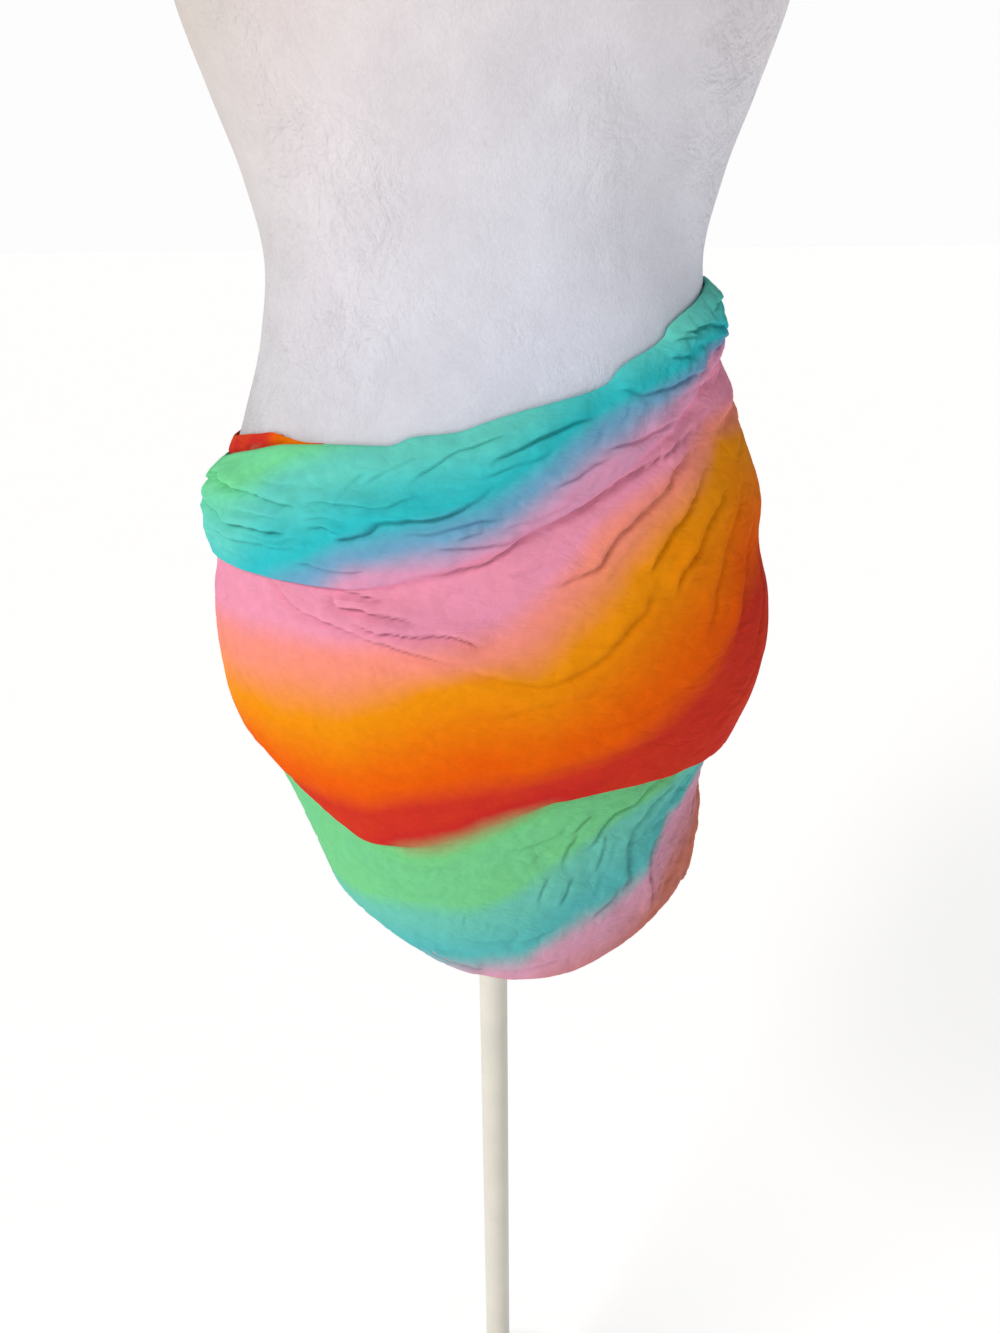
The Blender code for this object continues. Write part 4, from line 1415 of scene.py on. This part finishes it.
    def foot(self, ring: Ring, step: np.ndarray, count: int) -> Strip:
        """The band's foot: an open fold, or a soft slope where it melts into the hip."""
        crisp = ring.foot_crisp
        open_drop = np.array((-0.9, -0.4, 0.0, -0.4, -1.2, -2.0, -2.0, -0.9, 0.8, 2.6)) * MM
        open_share = np.array((0.99, 0.86, 0.66, 0.45, 0.28, 0.12, -0.02, -0.09, -0.05, 0.0))
        soft_drop = np.linspace(-5.8, 7.0, count) * MM
        soft_share = 1.0 - smooth_step(np.linspace(0.06, 1.0, count))
        drop = ring.foot + folded(crisp, open_drop[step], soft_drop[step])
        share = folded(crisp, open_share[step], soft_share[step])
        lead = folded(crisp, *self.band_lead)
        arch = np.sin(np.pi * (1.0 - lead / (ring.foot - ring.top))) ** self.puff_power
        height, crease_shade = relief(UPPER_CREASES, ring.angle, drop)
        held = 1.0 - crisp * np.clip(share, 0.0, 1.0)
        crossing = folded(crisp, smooth_step((step - 3.0) / 2.0), (step + 0.5) / count)
        above = dye_at(BAND_DYES, BAND_FIRST, ring.angle, drop)
        below = dye_at(HIP_DYES, HIP_FIRST, ring.angle, drop)
        dye = between(np.clip(crossing, 0.0, 1.0), above, below)
        proud = share * (LAP + arch * ring.puff) + height * held
        return Strip(drop, proud, np.zeros_like(drop), dye, crease_shade * held)

    def hips(self, ring: Ring, step: np.ndarray, count: int) -> Strip:
        """The turn over the hips."""
        start = ring.foot + folded(ring.foot_crisp, *self.hip_start)
        end = ring.tuck - folded(ring.tuck_crisp, *self.hip_lead)
        drop = between((step + 1.0) / count, start, end)
        height, crease_shade = relief(UPPER_CREASES, ring.angle, drop)
        for angle, wide, level, tall, rise in HIP_SWELLS:
            height += rise * MM * bell(ring.angle, angle, wide) * bell(drop / MM, level, tall)
        return Strip(drop, height, np.zeros_like(drop), self.tuck_dye(ring, drop, 0.0), crease_shade)

    def tuck(self, ring: Ring, step: np.ndarray, count: int) -> Strip:
        """The tuck, where the hip turn rolls in over the lower one."""
        crisp = ring.tuck_crisp
        open_drop = np.array((-1.5, -0.8, -0.2, 0.0, -0.3, -1.2, -2.2, -3.0, -2.6, -1.0, 1.2, 3.4)) * MM
        open_share = np.array((0.01, 0.04, 0.10, 0.22, 0.38, 0.56, 0.72, 0.88, 0.98, 1.0, 1.0, 1.0))
        soft_drop = np.linspace(-9.5, 10.0, count) * MM
        soft_share = smooth_step(np.linspace(0.03, 1.0, count))
        drop = ring.tuck + folded(crisp, open_drop[step], soft_drop[step])
        share = folded(crisp, open_share[step], soft_share[step])
        height, crease_shade = relief(UPPER_CREASES, ring.angle, drop)
        dye = self.tuck_dye(ring, drop, smooth_step((step - 4.0) / 2.0))
        return Strip(drop, (1.0 - share) * height, share, dye, (1.0 - share) * crease_shade)

    def tuck_dye(self, ring: Ring, drop: np.ndarray, crossed: Numbers) -> np.ndarray:
        """The dye near the tuck, where the hip turn's red melts into the lower turn's green.

        Args:
            ring: The places round the body.
            drop: Drops below the waist.
            crossed: From 0 to 1, how far past an open fold each place lies.

        Returns:
            Numbers of dyes, with parts between two of them.
        """
        melt = smooth_step((drop - ring.tuck) / self.melt_height + 0.5)
        share = folded(ring.tuck_crisp, crossed, melt)
        above = dye_at(HIP_DYES, HIP_FIRST, ring.angle, drop)
        below = dye_at(LOWER_DYES, LOWER_FIRST, ring.angle, drop)
        return between(np.clip(share, 0.0, 1.0), above, below)

    def lower(self, ring: Ring, step: np.ndarray, count: int) -> Strip:
        """The lower turn, down to the hem."""
        start = ring.tuck + folded(ring.tuck_crisp, *self.lower_start)
        drop = between((step + 1.0) / count, start, ring.hem - 1.0 * MM)
        shown = smooth_step((drop - ring.tuck) / (9.0 * MM))
        height, crease_shade = relief(LOWER_CREASES, ring.angle, drop)
        return Strip(drop, shown * height, np.ones_like(drop), self.tuck_dye(ring, drop, 1.0), shown * crease_shade)

    def hem(self, ring: Ring, step: np.ndarray, count: int) -> Strip:
        """The hem, which turns up inside, with a rust edge bared at the pole."""
        turned = np.array((-0.3, 0.0, -0.6, -3.5, -8.0)) * MM
        under = np.array((0.22, 0.60, 0.93, 1.0, 1.0))[step]
        height, crease_shade = relief(LOWER_CREASES, ring.angle, ring.hem)
        proud = height - self.hem_roll * under
        dye = np.minimum(dye_at(LOWER_DYES, LOWER_FIRST, ring.angle, ring.hem) + 0.8 * under, DYE_STEPS)
        bared = bell(ring.angle, -5.0, 6.0, 4) * np.clip(2.0 * under, 0.0, 1.0)
        dye = between(bared, dye, DYE_STEPS)
        return Strip(ring.hem + turned[step], proud, np.ones_like(proud), dye, crease_shade)

    def wrinkles(self, flat: np.ndarray, angle: np.ndarray, drop: np.ndarray) -> np.ndarray:
        """The cloth's small crinkles, stronger in the band and low on the knot's side.

        Args:
            flat: Places on the flat cloth.
            angle: Angles round the body.
            drop: Drops below the waist.

        Returns:
            Heights in metres.
        """
        top, foot, tuck = EDGES.at(angle)[:3] * MM
        long = self.crumple(flat, angle, 0.017, -12.0, 3.2, 1.0)
        steep = self.crumple(flat, angle, 0.012, -54.0, 2.8, 5.0)
        fine = self.crumple(flat, angle, 0.0080, -28.0, 2.2, 9.0)
        toward_knot = bell(angle, 72.0, 42.0) + bell(angle, 180.0, 40.0) + bell(angle, -180.0, 40.0)
        toward_knot = np.clip(toward_knot, 0.0, 1.0)
        in_band = 1.0 - smooth_step((drop - foot) / (12.0 * MM) + 0.5)
        in_lower = smooth_step((drop - tuck) / (12.0 * MM) + 0.5)
        both = np.clip(in_band + in_lower, 0.0, 1.0)
        amount = 0.65 + 1.75 * in_band + 1.15 * in_lower * (0.4 + toward_knot)
        height = amount * between(toward_knot, long, steep)
        height += (0.28 + both * (0.55 + 0.45 * toward_knot)) * fine
        return height * MM * (0.3 + 0.7 * smooth_step((drop - top) / (4.0 * MM)))

    def crumple(
        self, flat: np.ndarray, angle: np.ndarray, size: float, lean: float, stretch: float, seed: float
    ) -> np.ndarray:
        """Crisp crumples, which run on across the back where the grid's ends meet.

        Args:
            flat: Places on the flat cloth.
            angle: Angles round the body.
            size: How far apart the crumples lie.
            lean: The angle in degrees that they run at.
            stretch: How many times longer than wide they are.
            seed: A shift that makes one set of crumples differ from another.

        Returns:
            Heights from about -0.5 to 0.5.
        """
        here = crinkle(flat, size, lean, stretch, seed)
        round_again = crinkle(flat + np.array((HIP_GIRTH, 0.0)), size, lean, stretch, seed)
        height = between(smooth_step((angle + 180.0) / 40.0), round_again, here)
        return 0.45 * height - 0.75 * np.abs(height) + 0.16

    def first_turn(self) -> bpy.types.Object:
        """The edge of the first turn, which shows above the band from the front round to the back."""

        def place(across: np.ndarray, down: np.ndarray) -> Laid:
            """Lays the turn on the form."""
            angle = between(across, *self.turn_span)
            shown = TURN_SHOWN.at(angle)[0] * MM
            edge = EDGES.at(angle)[0] * MM
            drop = edge - shown + (shown + self.turn_tuck) * down
            bare = 1.0 - smooth_step((drop - edge) / (3.0 * MM) + 1.0)
            flat = np.stack([across * self.turn_length, drop], axis=-1)
            ripple = crinkle(flat, 0.007, -10.0, 2.0, 21.0) * 0.7
            height, crease_shade = relief(TURN_CREASES, angle, drop)
            curl = 0.9 * MM * bell(down, 0.0, 0.08)
            stand = 2.4 * MM * bell(angle, -92.0, 30.0) * bare
            proud = 1.9 * MM + stand + (ripple * MM + height) * bare - curl
            blush = 0.22 * bell(angle, -57.0, 6.0)
            light = 0.95 * bell(angle, -46.0, 7.5, 4)
            dye = 7.9 + blush - light - 0.3 * bell(down, 0.0, 0.18) + 0.3 * ripple
            return Laid(point_on(FORM, angle, drop, proud), dye, flat, crease_shade)

        piece = lay_sheet("first_turn", np.linspace(0, 1, 241), np.linspace(0, 1, 25), place)
        give_wall(piece, TURN_WALL)
        return self.finish(piece, "inner_turn")

    def knot_seat(self) -> tuple[float, float, float]:
        """The drop and the standing-out of the knot's middle, and the metres in a degree there."""
        top, foot, _, _, puff = EDGES.at(np.array(self.knot_angle)) * MM
        drop = (top + foot) / 2
        angles = np.array((self.knot_angle - 5.0, self.knot_angle + 5.0))
        here, there = point_on(OUTER_TURN, angles, np.full(2, drop), np.full(2, LAP))
        per_degree = float(np.linalg.norm(there - here)) / 10.0
        seat = LAP + puff + self.knot_back * self.knot_half_size[1]
        return float(drop), float(seat), per_degree

    def knot(self) -> bpy.types.Object:
        """The knot: gathered cloth drawn through a turn that goes round its waist."""
        drop, seat, per_degree = self.knot_seat()
        half_length, half_depth, half_height = self.knot_half_size
        sideways = Matrix.Rotation(math.pi / 2, 3, "Y")
        shape = bmesh.new()
        bmesh.ops.create_uvsphere(shape, u_segments=144, v_segments=72, radius=1.0)
        bmesh.ops.rotate(shape, verts=shape.verts, cent=(0, 0, 0), matrix=sideways)
        gathered = set(shape.verts)
        ring = bmesh.ops.create_circle(shape, segments=40, radius=1.0)["verts"]
        bmesh.ops.rotate(shape, verts=ring, cent=(0, 0, 0), matrix=sideways)
        for vertex in ring:
            bearing = math.atan2(vertex.co.z, vertex.co.y)
            vertex.co = (self.loop_half_width * math.cos(bearing), 0.0, 0.80 + 0.22 * math.sin(bearing))
        outline = ring + [edge for edge in shape.edges if all(v in ring for v in edge.verts)]
        bmesh.ops.spin(
            shape, geom=outline, cent=(0, 0, 0), axis=(1, 0, 0), angle=math.tau, steps=120, use_merge=True
        )
        dye_layer = shape.verts.layers.float.new("dye")
        flat_layer = shape.loops.layers.uv.new("flat")
        flats: dict[bmesh.types.BMVert, Pair] = {}
        for vertex in shape.verts:
            pleated = self.gathers if vertex in gathered else self.loop
            turn = math.atan2(vertex.co.z, vertex.co.y)
            length, swell, dye = pleated(vertex.co.x, turn, vertex.co.z)
            _, depth, height = vertex.co
            flat = self.knot_back if depth < 0 else 1.0
            angle = self.knot_angle + length * half_length / per_degree
            spot_drop = drop - height * half_height * swell
            proud = seat + depth * flat * half_depth * swell
            flats[vertex] = (length * half_length, turn * half_height)
            vertex[dye_layer] = float(dye) / DYE_STEPS
            vertex.co = Vector(point_on(OUTER_TURN, np.array(angle), np.array(spot_drop), np.array(proud)))
        for face in shape.faces:
            for corner in face.loops:
                corner[flat_layer].uv = flats[corner.vert]
        shape.normal_update()
        bmesh.ops.recalc_face_normals(shape, faces=shape.faces)
        return self.finish(add_piece("side_knot", shape), "hip_knot")

    def loop(self, length: float, turn: float, height: float) -> tuple[float, float, float]:
        """The turn round the knot's waist.

        Args:
            length: How far along the knot a place lies.
            turn: Its angle round the knot.
            height: Not used.

        Returns:
            How far along it lies once it is twisted, how much it swells, and its dye.
        """
        across = length / self.loop_half_width
        pleat = 0.030 * math.cos(11.0 * across + 1.3 * math.sin(2 * turn)) * (1 - abs(across) ** 3)
        swell = 1.0 + pleat
        swell += 0.05 * noise.noise((2.0 * across, 1.6 * math.cos(turn), 1.6 * math.sin(turn)))
        twisted = length * (1 + 0.10 * math.sin(turn + 0.6)) + 0.20 * math.cos(turn + 0.5)
        return twisted, swell, 1.3 + 0.9 * math.sin(turn) + 0.4 * across

    def gathers(self, length: float, turn: float, height: float) -> tuple[float, float, float]:
        """The gathered cloth drawn through the knot, from the same values to the same ones as the turn."""
        end = abs(length)
        pleat = 0.055 * math.cos(13.0 * turn + 1.7 * length) + 0.03 * math.cos(23.0 * turn - 2.0 * length)
        swell = 1.0 - 0.10 * float(bell(end, 0.40, 0.14)) + pleat * min(1.0, 2.4 * end) * (1 - end**6)
        return length, swell, 1.6 + 1.8 * float(smooth_step(np.array(0.5 - 0.8 * height))) + 0.5 * length

    def tail(
        self, name: str, node: str, angle_top: float, angle_end: float, length: float, half_spread: float
    ) -> bpy.types.Object:
        """One short end of the cloth, which hangs from the knot.

        Args:
            name: The piece's name.
            node: The CAD node that it stands for.
            angle_top: The angle of its middle at the knot.
            angle_end: The angle of its middle at its end.
            length: How far it hangs.
            half_spread: Half its width at its end, in degrees.

        Returns:
            The piece.
        """
        _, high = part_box(node)
        top = WAIST_HEIGHT - high[2] - 4.0 * MM

        def place(across: np.ndarray, down: np.ndarray) -> Laid:
            """Lays the end in pleats that open downwards."""
            side = 2.0 * across - 1.0
            spread = between(down**0.8, self.tail_root, half_spread)
            angle = between(down, angle_top, angle_end) + spread * side
            pleats = np.cos(3 * np.pi * side + 0.5 * np.sin(5 * down)) * (2.4 + 1.0 * down)
            pleats = pleats + 0.5 * np.cos(8 * np.pi * side + 2.0 * down) * (0.3 + down)
            drop = top + length * down + (6.0 * side + 1.5 * np.cos(3 * np.pi * side)) * MM * down
            flat = np.stack([across * 0.085, down * length], axis=-1)
            pleats = pleats + crinkle(flat, 0.009, 70.0, 2.5, length * 100) * 0.35
            points = point_on(OUTER_TURN, angle, drop, self.tail_proud + pleats * MM)
            dye = 2.2 + 3.6 * smooth_step(down * 1.05 + 0.10 * side)
            return Laid(points, dye, flat, np.zeros_like(drop))

        piece = lay_sheet(name, np.linspace(0, 1, 91), np.linspace(0, 1, 81), place)
        give_wall(piece)
        return self.finish(piece, node)


@dataclass
class Studio:
    """The pale floor, the soft lights and the camera."""

    camera_place: Triple = (0.007, -0.60, WAIST_HEIGHT + 0.016)
    pitch_down: float = 23.7
    roll: float = -0.48
    lens: float = 27.06
    key_power: float = 1.80
    rim_power: float = 0.08
    key_width: float = 28.0
    lamp_colour: Colour = (1.0, 0.975, 0.955)
    floor_reach: float = 60.0
    floor_glow: float = 0.54
    dome: tuple[Pair, Pair] = ((0.175, 0.98), (0.27, 0.11))

    def build(self) -> None:
        """Builds the floor, the lights, the sky and the camera."""
        self.floor()
        self.light("key", (-2.0, -1.6, 1.8), self.key_power, self.key_width)
        self.light("rim", (1.2, 2.0, 1.2), self.rim_power, self.key_width)
        self.sky()
        bpy.context.scene.view_settings.view_transform = "Standard"
        self.camera()

    def sky(self) -> None:
        """A dome that is white down to the floor and dimmer overhead."""
        world = bpy.data.worlds.new("studio")
        world.use_nodes = True
        tree = world.node_tree
        place = tree.nodes.new("ShaderNodeTexCoord")
        parts = tree.nodes.new("ShaderNodeSeparateXYZ")
        tone = tree.nodes.new("ShaderNodeValToRGB")
        tree.links.new(place.outputs["Generated"], parts.inputs["Vector"])
        tree.links.new(parts.outputs["Z"], tone.inputs["Fac"])
        tree.links.new(tone.outputs["Color"], tree.nodes["Background"].inputs["Color"])
        for stop, (height, grey) in zip(tone.color_ramp.elements, self.dome):
            stop.position = height
            stop.color = (grey, grey, grey, 1.0)
        bpy.context.scene.world = world

    def floor(self) -> None:
        """A wide pale floor."""
        shape = bmesh.new()
        bmesh.ops.create_grid(shape, x_segments=2, y_segments=2, size=self.floor_reach)
        floor = add_piece("floor", shape)
        sheet = NodeSheet("pale_floor")
        grain = sheet.noise(sheet.place(), 3.0, 3.0)
        material = sheet.dress(
            Base_Color=sheet.ramp(grain, (0.0, (0.93, 0.93, 0.93)), (1.0, (0.95, 0.95, 0.95))),
            Roughness=0.9,
            Emission_Color=(*WHITE, 1.0),
            Emission_Strength=self.floor_glow,
        )
        floor.data.materials.append(material)

    def light(self, name: str, toward: Triple, power: float, width: float) -> None:
        """Adds a far soft light, which reaches the whole floor evenly.

        Args:
            name: The light's name.
            toward: The direction that it comes from.
            power: Its strength in watts for each square metre.
            width: How wide it looks, in degrees.
        """
        lamp = bpy.data.lights.new(name, "SUN")
        lamp.energy = power
        lamp.angle = math.radians(width)
        lamp.color = self.lamp_colour
        holder = bpy.data.objects.new(name, lamp)
        holder.rotation_euler = (-Vector(toward)).to_track_quat("-Z", "Y").to_euler()
        bpy.context.scene.collection.objects.link(holder)

    def camera(self) -> None:
        """The photograph's camera."""
        lens = bpy.data.cameras.new("camera")
        lens.lens = self.lens
        lens.sensor_width = 36.0
        camera = bpy.data.objects.new("camera", lens)
        tilt = Matrix.Rotation(math.radians(90.0 - self.pitch_down), 4, "X")
        roll = Matrix.Rotation(math.radians(self.roll), 4, "Z")
        camera.matrix_world = Matrix.Translation(self.camera_place) @ tilt @ roll
        bpy.context.scene.collection.objects.link(camera)
        bpy.context.scene.camera = camera


def main() -> None:
    """Builds the studio, the form and the sarong, and reports each piece."""
    logging.basicConfig(level=logging.INFO, format="%(message)s")
    Studio().build()
    for piece in DressForm().build() + Sarong().build():
        LOG.info("%s: %d points", piece.name, len(piece.data.vertices))


if __name__ == "__main__":
    main()
